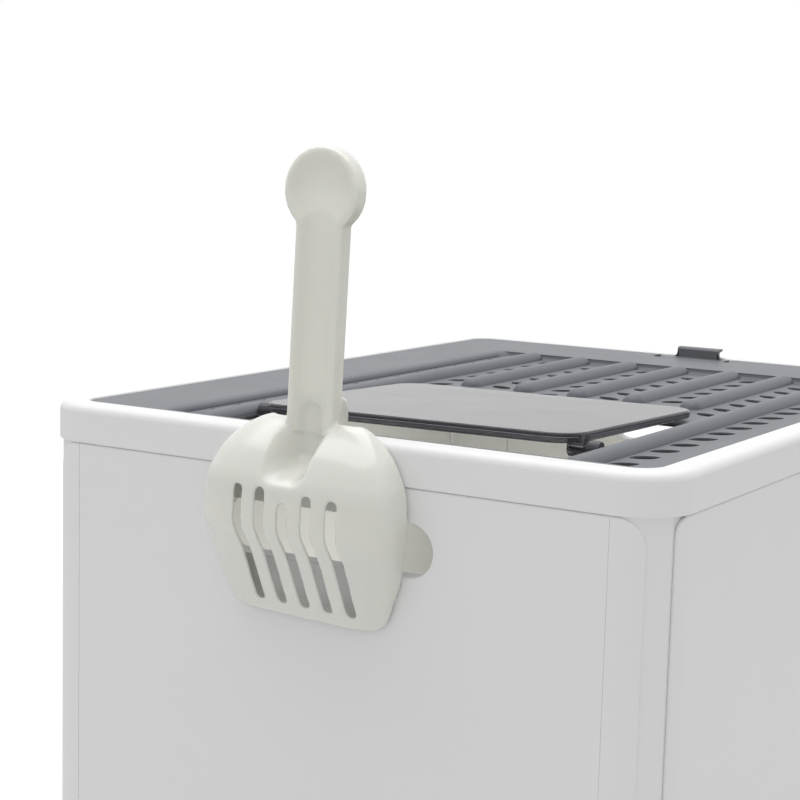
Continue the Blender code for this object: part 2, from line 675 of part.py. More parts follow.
def band_round():
    """Quarter-round bead that carries the left band's edge down to the floor."""
    edge = -LID_HALF_X + LID_LEFT_BAND
    drop = LID_TOP - LID_FLOOR
    sink = (LID_FLOOR - LID_BOTTOM) / 2
    outline = [(edge - sink, LID_FLOOR - sink), (edge + LID_BAND_ROUND, LID_FLOOR - sink)]
    for i in range(7):
        angle = math.radians(90 * i / 6)
        outline.append((edge + LID_BAND_ROUND * math.cos(angle), LID_FLOOR + drop * math.sin(angle)))
    outline.append((edge - sink, LID_TOP))
    start, end = -LID_HALF_Y + LID_FRONT_BAND - FIT_GAP, LID_HALF_Y - LID_REAR_BAND + FIT_GAP
    return prism("band_round", outline, "Y", start, end)


def lens(x, y, degrees):
    """Lens-shaped outline of one lid slot, turned about its centre."""
    half, wide = SLOT_LENGTH / 2, SLOT_WIDTH / 2
    shoulder = half * SLOT_SHOULDER_SHARE
    points = [(-half, 0.0), (-shoulder, -wide * 0.75), (0.0, -wide), (shoulder, -wide * 0.75),
              (half, 0.0), (shoulder, wide * 0.75), (0.0, wide), (-shoulder, wide * 0.75)]
    cosine, sine = math.cos(math.radians(degrees)), math.sin(math.radians(degrees))
    return [(x + a * cosine - b * sine, y + a * sine + b * cosine) for a, b in points]


def slot_cutter():
    """One cutter with a lens for every slot, in the channels between and beside the ribs."""
    shape = bmesh.new()
    front_y, rear_y = -LID_HALF_Y + LID_FRONT_BAND, LID_HALF_Y - LID_REAR_BAND
    behind_hatch = -LID_HALF_Y + SHORT_RIB_START
    for channel in range(LID_RIB_COUNT + 1):
        x = LID_GRILLE_CENTRE_X - OUTER_RIB_OFFSET + channel * LID_RIB_PITCH - LID_RIB_PITCH / 2
        odd = channel % 2
        full = channel in (0, LID_RIB_COUNT)
        degrees = SLOT_ODD_DEGREES if odd else SLOT_EVEN_DEGREES
        y = -LID_HALF_Y + (SLOT_ODD_OFFSET if odd else SLOT_EVEN_OFFSET)
        while y - SLOT_PITCH > front_y + SLOT_EDGE_MARGIN:
            y -= SLOT_PITCH
        while y < rear_y - SLOT_EDGE_MARGIN:
            if full or y > behind_hatch:
                outline = lens(x, y, degrees)
                low = [shape.verts.new((a, b, LID_BOTTOM - CUT_OVERRUN)) for a, b in outline]
                high = [shape.verts.new((a, b, LID_TOP + CUT_OVERRUN)) for a, b in outline]
                shape.faces.new(low[::-1])
                shape.faces.new(high)
                for i in range(len(outline)):
                    j = (i + 1) % len(outline)
                    shape.faces.new((low[i], low[j], high[j], high[i]))
            y += SLOT_PITCH
    return add_mesh("lid_slots", shape)


def hinge_ear(name, side):
    """Upright ear beside the entrance with its foot on the lid's floor, bored for the hatch pin."""
    centre = LID_GRILLE_CENTRE_X
    near = centre + side * (HATCH_HALF + FIT_GAP * 2)
    far = near + side * EAR_WIDTH
    foot = centre + side * (ENTRANCE_HALF + ENTRANCE_RIB_GAP * 4)
    base_top = LID_BOTTOM + (LID_FLOOR - LID_BOTTOM) * 0.8
    half = EAR_BASE_DEPTH / 2
    ear = box(name, (min(near, foot), HATCH_AXIS_Y - half, LID_BOTTOM + FIT_GAP),
              (max(near, foot), HATCH_AXIS_Y + half, base_top))
    foot_z = base_top - EAR_RADIUS / 4
    outline = [(HATCH_AXIS_Y - EAR_RADIUS, foot_z), (HATCH_AXIS_Y + EAR_RADIUS, foot_z)]
    outline += arc(HATCH_AXIS_Y, HATCH_AXIS_Z, EAR_RADIUS, 0, 180, 8)
    join(ear, prism("ear_plate", outline, "X", near, far))
    return ear


def make_lid():
    """Lid plate with its sunk floor, ribs, entrance, hinge ears and latch pocket."""
    outline = rounded_outline((-LID_HALF_X, -LID_HALF_Y), (LID_HALF_X, LID_HALF_Y),
                              CORNER_RADIUS - RIM_WIDTH - LID_SIDE_GAP)
    lid = prism("lid", outline, "Z", LID_BOTTOM, LID_TOP, GREY)
    sunk = rounded_outline((-LID_HALF_X + LID_LEFT_BAND, -LID_HALF_Y + LID_FRONT_BAND),
                           (LID_HALF_X - LID_RIGHT_BAND, LID_HALF_Y - LID_REAR_BAND), LID_FLOOR_CORNER, 3)
    cut(lid, prism("sunk_floor", sunk, "Z", LID_FLOOR, LID_TOP + CUT_OVERRUN))
    join(lid, band_round())
    cut(lid, slot_cutter())
    rear_y = LID_HALF_Y - LID_REAR_BAND + RIB_END_OVERLAP
    for i in range(LID_RIB_COUNT):
        x = LID_GRILLE_CENTRE_X - OUTER_RIB_OFFSET + i * LID_RIB_PITCH
        full = i in (0, LID_RIB_COUNT - 1)
        start_y = -LID_HALF_Y + LID_FRONT_BAND / 2 if full else -LID_HALF_Y + SHORT_RIB_START
        join(lid, rib("rib", x, start_y, rear_y))
    centre = LID_GRILLE_CENTRE_X
    entrance = rounded_outline((centre - ENTRANCE_HALF, ENTRANCE_Y),
                               (centre + ENTRANCE_HALF, ENTRANCE_Y + ENTRANCE_LENGTH), ENTRANCE_CORNER, 4)
    cut(lid, prism("entrance", entrance, "Z", LID_BOTTOM - CUT_OVERRUN, RIB_TOP + CUT_OVERRUN))
    notch_low = (SCOOP_CENTRE_X - HOOK_NOTCH_WIDTH / 2, -LID_HALF_Y - CUT_OVERRUN, LID_BOTTOM - CUT_OVERRUN)
    notch_high = (SCOOP_CENTRE_X + HOOK_NOTCH_WIDTH / 2, -LID_HALF_Y + HOOK_NOTCH_DEPTH, LID_TOP + CUT_OVERRUN)
    cut(lid, box("hook_notch", notch_low, notch_high))
    for side in (-1, 1):
        join(lid, hinge_ear("ear", side))
    cut(lid, rod("pin_bore", "X", (centre, HATCH_AXIS_Y, HATCH_AXIS_Z), HATCH_PIN_RADIUS + PIN_CLEARANCE,
                 2 * (HATCH_HALF + EAR_WIDTH + 4 * FIT_GAP)))
    pocket_front = LATCH_AXIS_Y - LATCH_BARREL_RADIUS - LATCH_POCKET_FRONT
    pocket_half = LATCH_HALF_WIDTH + LATCH_POCKET_SIDE_ROOM
    pocket = rounded_outline((LATCH_CENTRE_X - pocket_half, pocket_front),
                             (LATCH_CENTRE_X + pocket_half, LID_HALF_Y + CUT_OVERRUN), LATCH_POCKET_CORNER, 4)
    cut(lid, prism("latch_pocket", pocket, "Z", LID_TOP - LATCH_POCKET_DEPTH, LID_TOP + CUT_OVERRUN))
    bore_centre = (LATCH_CENTRE_X, LATCH_AXIS_Y, LATCH_AXIS_Z)
    cut(lid, rod("latch_bore", "X", bore_centre, LATCH_PIN_RADIUS + PIN_CLEARANCE,
                 2 * (pocket_half + LATCH_PIN_REACH + 2 * FIT_GAP), segments=12))
    smooth(lid)
    return lid


def make_hatch():
    """Smoky flap: a shallow tray turned over, with a lug at each front corner."""
    front = -HATCH_AXIS_SETBACK
    top = HATCH_TOP_OVER_AXIS
    half = HATCH_HALF
    def tray(inset):
        return rounded_outline((-half + inset, front + inset), (half - inset, front + HATCH_LENGTH - inset),
                               HATCH_CORNER - inset)
    edge = HATCH_SKIN / 3
    rows = [(0.0, top - HATCH_SKIRT), (0.0, top - edge), (edge, top)]
    hatch = loft("hatch", [[(x, y, z) for x, y in tray(inset)] for inset, z in rows], SMOKE)
    cut(hatch, prism("hatch_hollow", tray(HATCH_SKIN), "Z", top - HATCH_SKIRT - CUT_OVERRUN, top - HATCH_SKIN))
    for side in (-1, 1):
        outer = side * half
        inner = outer - side * LUG_WIDTH
        outline = arc(0.0, 0.0, LUG_RADIUS, 180, 360, 8)
        outline += [(LUG_RADIUS, top - HATCH_SKIN / 2), (-LUG_RADIUS, top - HATCH_SKIN / 2)]
        join(hatch, prism("lug", outline, "X", inner, outer))
    cut(hatch, rod("lug_bore", "X", (0.0, 0.0, 0.0), HATCH_PIN_RADIUS + PIN_CLEARANCE, 2 * half + CUT_OVERRUN))
    hatch.location = (LID_GRILLE_CENTRE_X, HATCH_AXIS_Y, HATCH_AXIS_Z)
    hatch.rotation_euler.x = math.radians(-HATCH_TILT_DEGREES)
    smooth(hatch)
    return hatch


def make_hatch_pins():
    pins = []
    length = LUG_WIDTH + EAR_WIDTH + FIT_GAP
    for side, name in ((-1, "hatch_pin_left"), (1, "hatch_pin_right")):
        x = LID_GRILLE_CENTRE_X + side * (HATCH_HALF - LUG_WIDTH + length / 2 + FIT_GAP)
        pin = rod(name, "X", (x, HATCH_AXIS_Y, HATCH_AXIS_Z), HATCH_PIN_RADIUS, length, STEEL, 16)
        smooth(pin)
        pins.append(pin)
    return pins


def make_latch():
    """Latch plate with a barrel at its front, an upright finger tab and a nose at its rear."""
    bottom, top = -LATCH_PLATE / 2, LATCH_PLATE / 2
    tab_front = LATCH_AXIS_FROM_EDGE - LATCH_TAB_THICKNESS * 2
    tab_back = tab_front + LATCH_TAB_THICKNESS
    half = LATCH_HALF_WIDTH
    latch = rod("lid_latch", "X", (0.0, 0.0, 0.0), LATCH_BARREL_RADIUS, 2 * half, DARK, 16)
    join(latch, box("latch_plate", (-half, 0.0, bottom), (half, LATCH_AXIS_FROM_EDGE, top)))
    lip_rise = LATCH_TAB_RISE - LATCH_TAB_THICKNESS
    outline = [
        (tab_front, 0.0), (tab_back, 0.0), (tab_back, top + lip_rise - LATCH_TAB_THICKNESS / 2),
        (tab_back + LATCH_TAB_THICKNESS / 2, top + lip_rise),
        (tab_back + LATCH_LIP_REACH, top + lip_rise + LATCH_TAB_THICKNESS / 4),
        (tab_back + LATCH_LIP_REACH, top + LATCH_TAB_RISE),
        (tab_front + LATCH_TAB_THICKNESS / 2, top + LATCH_TAB_RISE),
        (tab_front, top + LATCH_TAB_RISE - LATCH_TAB_THICKNESS / 2),
    ]
    tab_low, tab_high = LATCH_TAB_OFFSET - LATCH_TAB_HALF_WIDTH, LATCH_TAB_OFFSET + LATCH_TAB_HALF_WIDTH
    join(latch, prism("finger_tab", outline, "X", tab_low, tab_high))
    for side, end in ((-1, tab_low), (1, tab_high)):
        fillet = arc(end + side * LATCH_TAB_FILLET, top + LATCH_TAB_FILLET, LATCH_TAB_FILLET,
                     270, 270 - side * 90, 6)
        fillet += [(end - side * FIT_GAP, top + LATCH_TAB_FILLET), (end - side * FIT_GAP, 0.0),
                   (end + side * LATCH_TAB_FILLET, 0.0)]
        join(latch, prism("tab_fillet", fillet, "Y", tab_front, tab_back))
    join(latch, box("nose", (tab_low, LATCH_AXIS_FROM_EDGE - LATCH_NOSE, bottom / 2),
                    (tab_high, LATCH_AXIS_FROM_EDGE + LATCH_NOSE / 2, top / 2)))
    cut(latch, rod("latch_bore", "X", (0.0, 0.0, 0.0), LATCH_PIN_RADIUS + PIN_CLEARANCE,
                   2 * half + CUT_OVERRUN, segments=12))
    latch.location = (LATCH_CENTRE_X, LATCH_AXIS_Y, LATCH_AXIS_Z)
    smooth(latch)
    pin = rod("latch_pin", "X", (LATCH_CENTRE_X, LATCH_AXIS_Y, LATCH_AXIS_Z), LATCH_PIN_RADIUS,
              2 * (LATCH_HALF_WIDTH + LATCH_POCKET_SIDE_ROOM + LATCH_PIN_REACH), STEEL, 12)
    smooth(pin)
    return latch, pin


def smoothstep(value):
    value = max(0.0, min(1.0, value))
    return value * value * (3 - 2 * value)


def blade_shares(height_share):
    """Half width and bulge of the blade at a share of its height, along a smooth curve."""
    table = BLADE_SECTION_SHARES
    last = len(table) - 1
    i = max(k for k in range(last) if table[k][0] <= height_share)
    before, low, high, after = table[max(i - 1, 0)], table[i], table[i + 1], table[min(i + 2, last)]
    span = high[0] - low[0]
    t = (height_share - low[0]) / span
    values = []
    for k in (1, 2):
        slope_low = (high[k] - before[k]) / (high[0] - before[0]) * span
        slope_high = (after[k] - low[k]) / (after[0] - low[0]) * span
        values.append((2 * t ** 3 - 3 * t ** 2 + 1) * low[k] + (t ** 3 - 2 * t ** 2 + t) * slope_low
                      + (3 * t ** 2 - 2 * t ** 3) * high[k] + (t ** 3 - t ** 2) * slope_high)
    return values


def blade_row(height_share, columns):
    """Points across the blade's outer face at one height, from the left edge to the right."""
    width_share, bulge_share = blade_shares(height_share)
    half, bulge = SCOOP_HALF_WIDTH * width_share, SCOOP_BULGE * bulge_share
    z = SCOOP_BLADE_TOP - SCOOP_BLADE_HEIGHT * (1 - height_share)
    rise = smoothstep((height_share - GROOVE_FOOT_SHARE) / GROOVE_RAMP_SHARE)
    spread = smoothstep((height_share - GROOVE_FOOT_SHARE) / (1 - GROOVE_FOOT_SHARE))
    groove_half = GROOVE_FOOT_HALF_WIDTH + (GROOVE_TOP_HALF_WIDTH - GROOVE_FOOT_HALF_WIDTH) * spread
    groove_floor = HANDLE_DEPTH - SCOOP_SKIN / 3
    row = []
    for i in range(columns + 1):
        angle = math.pi * (i / columns - 0.5)
        x = half * math.copysign(abs(math.sin(angle)) ** 0.85, angle)
        depth = bulge * max(0.0, math.cos(angle)) ** 0.5
        inside = rise * (1 - smoothstep((abs(x) - groove_half) / GROOVE_WALL_WIDTH))
        row.append((x, -(depth + (min(depth, groove_floor) - depth) * inside), z))
    return row


def make_blade():
    """Dished blade as an open surface given its thickness, with five slots."""
    shape = bmesh.new()
    rows = [[shape.verts.new(point) for point in blade_row(i / BLADE_ROWS, BLADE_COLUMNS)]
            for i in range(BLADE_ROWS + 1)]
    for low, high in zip(rows, rows[1:]):
        for i in range(BLADE_COLUMNS):
            shape.faces.new((low[i], low[i + 1], high[i + 1], high[i]))
    blade = add_mesh("scoop", shape, CREAM)
    thick = blade.modifiers.new("skin", "SOLIDIFY")
    thick.thickness = SCOOP_SKIN
    thick.offset = -1.0
    blade.modifiers.new("triangles", "TRIANGULATE")
    apply_modifiers(blade)
    for i, top_share in enumerate(SLOT_TOP_SHARES):
        x = (i - (len(SLOT_TOP_SHARES) - 1) / 2) * SCOOP_SLOT_PITCH
        top = SCOOP_BLADE_TOP - SCOOP_BLADE_HEIGHT * (1 - top_share)
        foot = SCOOP_BLADE_TOP - SCOOP_BLADE_HEIGHT * (1 - SLOT_FOOT_SHARE)
        half = SCOOP_SLOT_WIDTH / 2
        outline = arc(x, top - half, half, 0, 180, 6) + arc(x, foot + half, half, 180, 360, 6)
        cut(blade, prism("blade_slot", outline, "Y", -SCOOP_BULGE - CUT_OVERRUN, -SCOOP_SKIN / 2))
    return blade


def handle_outline(inset, foot):
    """Keyhole outline of the handle: straight sides under a round end."""
    half, radius = HANDLE_HALF_WIDTH - inset, HANDLE_DISC_RADIUS - inset
    start = math.degrees(math.asin(-math.sqrt(radius * radius - half * half) / radius))
    disc = arc(0.0, HANDLE_DISC_RISE, radius, start, 180 - start, 24)
    return [(-half, foot), (half, foot)] + disc


def make_scoop():
    """Blade, handle and hook in one moulding, hung on the rim with a slight lean."""
    scoop = make_blade()
    handle = prism("handle", handle_outline(0.0, -HANDLE_FOOT), "Y", -HANDLE_DEPTH, 0.0)
    cut(handle, prism("handle_hollow", handle_outline(SCOOP_SKIN, -HANDLE_FOOT - CUT_OVERRUN), "Y",
                      -HANDLE_DEPTH + SCOOP_SKIN, CUT_OVERRUN))
    rim_back = SCOOP_WALL_GAP + RIM_WIDTH + 2 * FIT_GAP
    back = rim_back + HOOK_LEG_THICKNESS
    front = -HANDLE_DEPTH + SCOOP_SKIN / 2
    radius = HOOK_CORNER_RADIUS
    outline = [(front, -HANDLE_FOOT / 2), (-SCOOP_WALL_GAP, -HANDLE_FOOT / 2), (-SCOOP_WALL_GAP, FIT_GAP),
               (rim_back, FIT_GAP), (rim_back, -HOOK_LEG_DROP), (back, -HOOK_LEG_DROP)]
    outline += arc(back - radius, HOOK_HEIGHT - radius, radius, 0, 90, 6)
    outline += [(front, HOOK_HEIGHT)]
    join(handle, prism("hook", outline, "X", -HOOK_HALF_WIDTH, HOOK_HALF_WIDTH))
    join(scoop, handle)
    scoop.location = (SCOOP_CENTRE_X, SCOOP_FACE_Y, BOX_HEIGHT)
    scoop.rotation_euler.y = math.radians(SCOOP_TILT_DEGREES)
    smooth(scoop, 40)
    return scoop


def main():
    root = bpy.data.objects.new("litter_box_origin", None)
    PARTS.objects.link(root)
    pieces = [make_top_frame(), make_base()]
    pieces += make_feet()
    pieces += make_end_panels()
    pieces += [make_side_panel("left_panel", -1), make_side_panel("right_panel", 1)]
    for name, side_x, side_y in (("front_left_post", -1, -1), ("front_right_post", 1, -1),
                                 ("rear_left_post", -1, 1), ("rear_right_post", 1, 1)):
        pieces.append(make_post(name, side_x, side_y))
    pieces += [make_litter_pan(), make_drawer_front()]
    pieces += [make_guide("left_guide", -1), make_guide("right_guide", 1)]
    pieces += [make_lid(), make_hatch()]
    pieces += make_hatch_pins()
    pieces += make_latch()
    pieces.append(make_scoop())
    for piece in pieces:
        piece.parent = root
    root.location.y = ORIGIN_SHIFT_Y


main()
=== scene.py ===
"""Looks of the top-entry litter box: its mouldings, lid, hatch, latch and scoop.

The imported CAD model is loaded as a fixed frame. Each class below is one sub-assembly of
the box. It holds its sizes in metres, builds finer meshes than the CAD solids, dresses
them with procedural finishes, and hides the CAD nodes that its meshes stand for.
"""

from __future__ import annotations

import logging
import math
from collections.abc import Sequence
from dataclasses import dataclass
from enum import Enum

import bmesh
import bpy
from mathutils import Matrix, Vector


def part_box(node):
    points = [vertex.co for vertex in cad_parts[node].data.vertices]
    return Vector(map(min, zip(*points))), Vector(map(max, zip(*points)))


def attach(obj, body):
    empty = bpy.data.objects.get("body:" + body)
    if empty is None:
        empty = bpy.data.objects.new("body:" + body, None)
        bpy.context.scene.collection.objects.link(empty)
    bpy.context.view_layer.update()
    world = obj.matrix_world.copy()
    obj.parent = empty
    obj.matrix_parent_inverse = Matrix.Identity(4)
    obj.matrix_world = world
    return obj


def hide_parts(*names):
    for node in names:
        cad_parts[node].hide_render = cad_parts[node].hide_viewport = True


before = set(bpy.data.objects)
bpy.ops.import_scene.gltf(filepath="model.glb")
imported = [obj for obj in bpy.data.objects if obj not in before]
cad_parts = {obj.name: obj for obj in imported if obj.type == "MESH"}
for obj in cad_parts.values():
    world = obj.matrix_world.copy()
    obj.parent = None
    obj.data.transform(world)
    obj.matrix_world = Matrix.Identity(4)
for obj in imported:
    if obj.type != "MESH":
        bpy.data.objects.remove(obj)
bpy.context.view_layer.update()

LOG = logging.getLogger("litter_box")
Object = bpy.types.Object
Material = bpy.types.Material
Point = tuple[float, float, float]
Plan = tuple[float, float]

# Points closer than MERGE are one. In the CAD's own meshes CAD_MERGE does this, and edges
# flatter than CAD_FLAT degrees go. A cutter reaches PAST beyond what it cuts.
MERGE = 1e-7
CAD_MERGE = 2e-6
CAD_FLAT = 0.8
PAST = 0.01


class Part(str, Enum):
    """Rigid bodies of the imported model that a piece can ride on."""

    BOX = "box"
    LID = "lid"
    HATCH = "hatch"
    LATCH = "latch"
    DRAWER = "drawer"
    SCOOP = "scoop"


class Axis(Enum):
    """Direction that a flat outline is pushed along."""

    X = 0
    Y = 1
    Z = 2


# Shaders


class Wire:
    """A node's output that can be used in a Python expression."""

    def __init__(self, graph: "Graph", socket: bpy.types.NodeSocket) -> None:
        """Keep the graph that new Math nodes go into, and the socket itself."""
        self.graph = graph
        self.socket = socket

    def math(self, operation: str, *others: "Wire | float") -> "Wire":
        """Add one Math node whose first value is this socket.

        Args:
            operation: Name of the Math node's operation.
            others: The other values or sockets, in order.

        Returns:
            The Math node's result.
        """
        values = {0: self, **dict(enumerate(others, 1))}
        return self.graph.node("ShaderNodeMath", values, operation=operation)

    def __add__(self, other: "Wire | float") -> "Wire":
        """Sum."""
        return self.math("ADD", other)

    def __mul__(self, other: "Wire | float") -> "Wire":
        """Product."""
        return self.math("MULTIPLY", other)

    def __sub__(self, other: "Wire | float") -> "Wire":
        """Difference."""
        return self.math("SUBTRACT", other)

    def __rsub__(self, other: float) -> "Wire":
        """Difference from a number."""
        return self.graph.node("ShaderNodeMath", {0: other, 1: self}, operation="SUBTRACT")

    def clamp(self, low: float = 0.0, high: float = 1.0) -> "Wire":
        """Value held between two limits."""
        return self.math("MAXIMUM", low).math("MINIMUM", high)


class Graph:
    """The node tree of one material or world, filled from Python expressions."""

    def __init__(self, tree: bpy.types.NodeTree) -> None:
        """Empty the tree and keep it."""
        self.tree = tree
        tree.nodes.clear()

    def node(self, kind: str, inputs: dict | None = None, output: int | str = 0,
             **settings: object) -> Wire:
        """Add one node.

        Args:
            kind: The node's type.
            inputs: Values or wires for its sockets, by name or number.
            output: Which output to give back.
            settings: Properties of the node, which are set first.

        Returns:
            The chosen output.
        """
        made = self.tree.nodes.new(kind)
        for key, value in settings.items():
            setattr(made, key, value)
        for key, value in (inputs or {}).items():
            socket = made.inputs[key]
            if isinstance(value, Wire):
                self.tree.links.new(value.socket, socket)
            elif isinstance(value, tuple) and len(value) == 3 and socket.type == "RGBA":
                socket.default_value = (*value, 1.0)
            else:
                socket.default_value = value
        return Wire(self, made.outputs[output] if len(made.outputs) else None)

    def place(self) -> Wire:
        """Object coordinates of the surface."""
        return self.node("ShaderNodeTexCoord", output="Object")

    def noise(self, at: Wire, scale: float, detail: float, roughness: float) -> Wire:
        """Noise from 0 to 1 at a scale in cells per metre."""
        values = {"Vector": at, "Scale": scale, "Detail": detail, "Roughness": roughness}
        return self.node("ShaderNodeTexNoise", values, noise_dimensions="3D")

    def stretched(self, at: Wire, scale: Point) -> Wire:
        """Coordinates stretched along the axes."""
        return self.node("ShaderNodeMapping", {"Vector": at, "Scale": scale})

    def blend(self, factor: Wire | float, low: Wire | tuple, high: Wire | tuple) -> Wire:
        """Mix of two colours."""
        return self.node("ShaderNodeMix", {0: factor, 6: low, 7: high}, 2, data_type="RGBA")

    def bump(self, height: Wire, distance: float) -> Wire:
        """Normal from a height in shares of a distance in metres."""
        values = {"Height": height, "Distance": distance, "Strength": 1.0}
        return self.node("ShaderNodeBump", values)

    def surface(self, shader: Wire) -> None:
        """Send a shader to the material's output."""
        self.node("ShaderNodeOutputMaterial", {"Surface": shader})


def new_material(name: str) -> tuple[Material, Graph]:
    """Start an empty node material.

    Args:
        name: Its name.

    Returns:
        The material and its graph.
    """
    made = bpy.data.materials.new(name)
    made.use_nodes = True
    return made, Graph(made.node_tree)


class Finish:
    """A material made of one surface shader."""

    name: str

    def sockets(self, graph: Graph) -> dict:
        """Values and wires for the surface shader."""
        raise NotImplementedError

    def build(self) -> Material:
        """Make the material.

        Returns:
            The finished material.
        """
        made, graph = new_material(self.name)
        graph.surface(graph.node("ShaderNodeBsdfPrincipled", self.sockets(graph)))
        return made


@dataclass(frozen=True)
class MouldedPlastic(Finish):
    """Injection-moulded plastic: a fine spark-eroded grain over faint flow marks.

    Below the height painted_shade_below, where it isn't zero, the colour falls towards
    painted_shade_tint of its shade, over 1 / painted_shade_steepness metres: painted shade, not a
    colour of the plastic.
    """

    name: str
    colour: Point
    shade: Point
    roughness: float
    grain_size: float = 0.0006
    grain_height: float = 0.000012
    mottle_size: float = 0.045
    mottle: float = 0.35
    flow_gloss: float = 0.10
    grain_gloss: float = 0.06
    dust: float = 0.0
    dust_level: float = 0.62
    coat: float = 0.0
    coat_roughness: float = 0.12
    glow: float = 0.0
    glow_radius: Point = (1.0, 0.9, 0.72)
    glow_depth: float = 0.004
    painted_shade_below: float = 0.0
    painted_shade_steepness: float = 1250.0
    painted_shade_share: float = 0.85
    painted_shade_tint: float = 0.15

    def sockets(self, graph: Graph) -> dict:
        """Flow marks, dust and painted shade below a height, under the grain.

        Args:
            graph: The material's graph.

        Returns:
            Values and wires for the surface shader.
        """
        at = graph.place()
        flow = graph.noise(at, 1 / self.mottle_size, 3.0, 0.55)
        grain = graph.noise(at, 1 / self.grain_size, 1.0, 0.4)
        colour = graph.blend(flow * self.mottle, self.colour, self.shade)
        if self.dust:
            speck = graph.noise(at, 2.2 / self.mottle_size, 5.0, 0.7) - self.dust_level
            pale = tuple(min(1.0, value * 1.25 + 0.04) for value in self.colour)
            colour = graph.blend((speck.clamp() * 4 * self.dust).clamp(), colour, pale)
        # Painted shade: below a height the colour is darkened, standing in for the shade in the
        # lid's slots.
        if self.painted_shade_below:
            height = graph.node("ShaderNodeSeparateXYZ", {0: at}, 2)
            painted_shade_mask = ((self.painted_shade_below - height) * self.painted_shade_steepness).clamp()
            dark = tuple(self.painted_shade_tint * value for value in self.shade)
            colour = graph.blend(painted_shade_mask * self.painted_shade_share, colour, dark)
        rough = (flow - 0.5) * self.flow_gloss + (grain - 0.5) * self.grain_gloss
        return {
            "Base Color": colour,
            "Roughness": (rough + self.roughness).clamp(0.05, 1.0),
            "IOR": 1.48,
            "Coat Weight": self.coat,
            "Coat Roughness": self.coat_roughness,
            "Subsurface Weight": self.glow,
            "Subsurface Radius": self.glow_radius,
            "Subsurface Scale": self.glow_depth,
            "Normal": graph.bump(grain, self.grain_height),
        }


@dataclass(frozen=True)
class SmokySheet(Finish):
    """Clear moulded sheet with a grey tint, faint waviness and hairline polish marks."""

    name: str = "smoky_sheet"
    tint: Point = (0.20, 0.20, 0.225)
    roughness: float = 0.14
    clear: float = 0.85
    sheen: Point = (0.84, 0.85, 0.93)
    marks: Point = (9.0, 700.0, 9.0)

    def sockets(self, graph: Graph) -> dict:
        """Waves and polish marks in a tinted clear shader.

        Args:
            graph: The material's graph.

        Returns:
            Values and wires for the surface shader.
        """
        at = graph.place()
        wave = graph.noise(at, 14.0, 1.0, 0.4)
        marks = graph.noise(graph.stretched(at, self.marks), 1.0, 2.0, 0.6)
        rough = (marks - 0.5) * 0.10 + (wave - 0.5) * 0.05 + self.roughness
        return {
            "Base Color": graph.blend(wave, self.tint, tuple(0.86 * value for value in self.tint)),
            "Roughness": rough.clamp(0.02, 1.0),
            "IOR": 1.40,
            "Specular Tint": self.sheen,
            "Transmission Weight": self.clear,
            "Normal": graph.bump(wave, 0.0004),
        }


@dataclass(frozen=True)
class DrawnSteel(Finish):
    """Bright wire with lengthwise drawing marks."""

    name: str = "drawn_steel"
    marks: Point = (60.0, 4000.0, 4000.0)

    def sockets(self, graph: Graph) -> dict:
        """Marks in colour, gloss and height.

        Args:
            graph: The material's graph.

        Returns:
            Values and wires for the surface shader.
        """
        marks = graph.noise(graph.stretched(graph.place(), self.marks), 1.0, 2.0, 0.6)
        return {
            "Base Color": graph.blend(marks, (0.58, 0.58, 0.60), (0.72, 0.72, 0.73)),
            "Metallic": 1.0,
            "Roughness": marks * 0.15 + 0.22,
            "Normal": graph.bump(marks, 0.00001),
        }


@dataclass(frozen=True)
class PadRubber(Finish):
    """Matt black rubber with a coarse skin."""

    name: str = "pad_rubber"

    def sockets(self, graph: Graph) -> dict:
        """Wear in colour and gloss over the skin's height.

        Args:
            graph: The material's graph.

        Returns:
            Values and wires for the surface shader.
        """
        at = graph.place()
        skin = graph.noise(at, 1500.0, 3.0, 0.6)
        wear = graph.noise(at, 90.0, 3.0, 0.6)
        return {
            "Base Color": graph.blend(wear, (0.02, 0.02, 0.021), (0.05, 0.05, 0.048)),
            "Roughness": wear * 0.2 + 0.68,
            "Normal": graph.bump(skin, 0.00006),
        }


WHITE = MouldedPlastic("white_moulding", (0.86, 0.862, 0.86), (0.825, 0.83, 0.835), 0.36)
GREY = MouldedPlastic("grey_moulding", (0.136, 0.146, 0.164), (0.114, 0.124, 0.141), 0.43,
                      dust=0.10, grain_height=0.00002)
# The lid's grey with painted shade: everything below its sunk floor, the slot walls among it, is
# darkened.
LID_GREY_PAINTED_SHADE = MouldedPlastic("lid_grey_painted_slot_shade", GREY.colour, GREY.shade, GREY.roughness,
                          dust=GREY.dust, grain_height=GREY.grain_height, painted_shade_below=0.3745)
DARK = MouldedPlastic("dark_moulding", (0.130, 0.136, 0.148), (0.106, 0.112, 0.124), 0.34)
CREAM = MouldedPlastic("cream_moulding", (0.80, 0.80, 0.75), (0.765, 0.765, 0.705), 0.20,
                       mottle_size=0.03, grain_height=0.000005, coat=0.5, glow=0.75)
SMOKE = SmokySheet()
SMOKE_BOSS = SmokySheet("smoky_boss", (0.10, 0.10, 0.11), 0.12, 0.30)


# Mesh helpers, in the box's own frame


def put(name: str, data: bpy.types.ID) -> Object:
    """Put a new object in the scene.

    Args:
        name: Its name.
        data: Its mesh, light or camera.

    Returns:
        The object.
    """
    made = bpy.data.objects.new(name, data)
    bpy.context.scene.collection.objects.link(made)
    return made


def mesh_from(name: str, shape: bmesh.types.BMesh) -> bpy.types.Mesh:
    """Turn a bmesh into a mesh.

    Args:
        name: Name of the mesh.
        shape: The bmesh, which is freed.

    Returns:
        The mesh.
    """
    mesh = bpy.data.meshes.new(name)
    shape.to_mesh(mesh)
    shape.free()
    return mesh


def object_from(name: str, shape: bmesh.types.BMesh) -> Object:
    """Turn a bmesh into an object with its normals outwards.

    Args:
        name: Name of the object.
        shape: The bmesh, which is freed.

    Returns:
        The new object.
    """
    bmesh.ops.remove_doubles(shape, verts=shape.verts, dist=MERGE)
    bmesh.ops.recalc_face_normals(shape, faces=shape.faces)
    return put(name, mesh_from(name, shape))


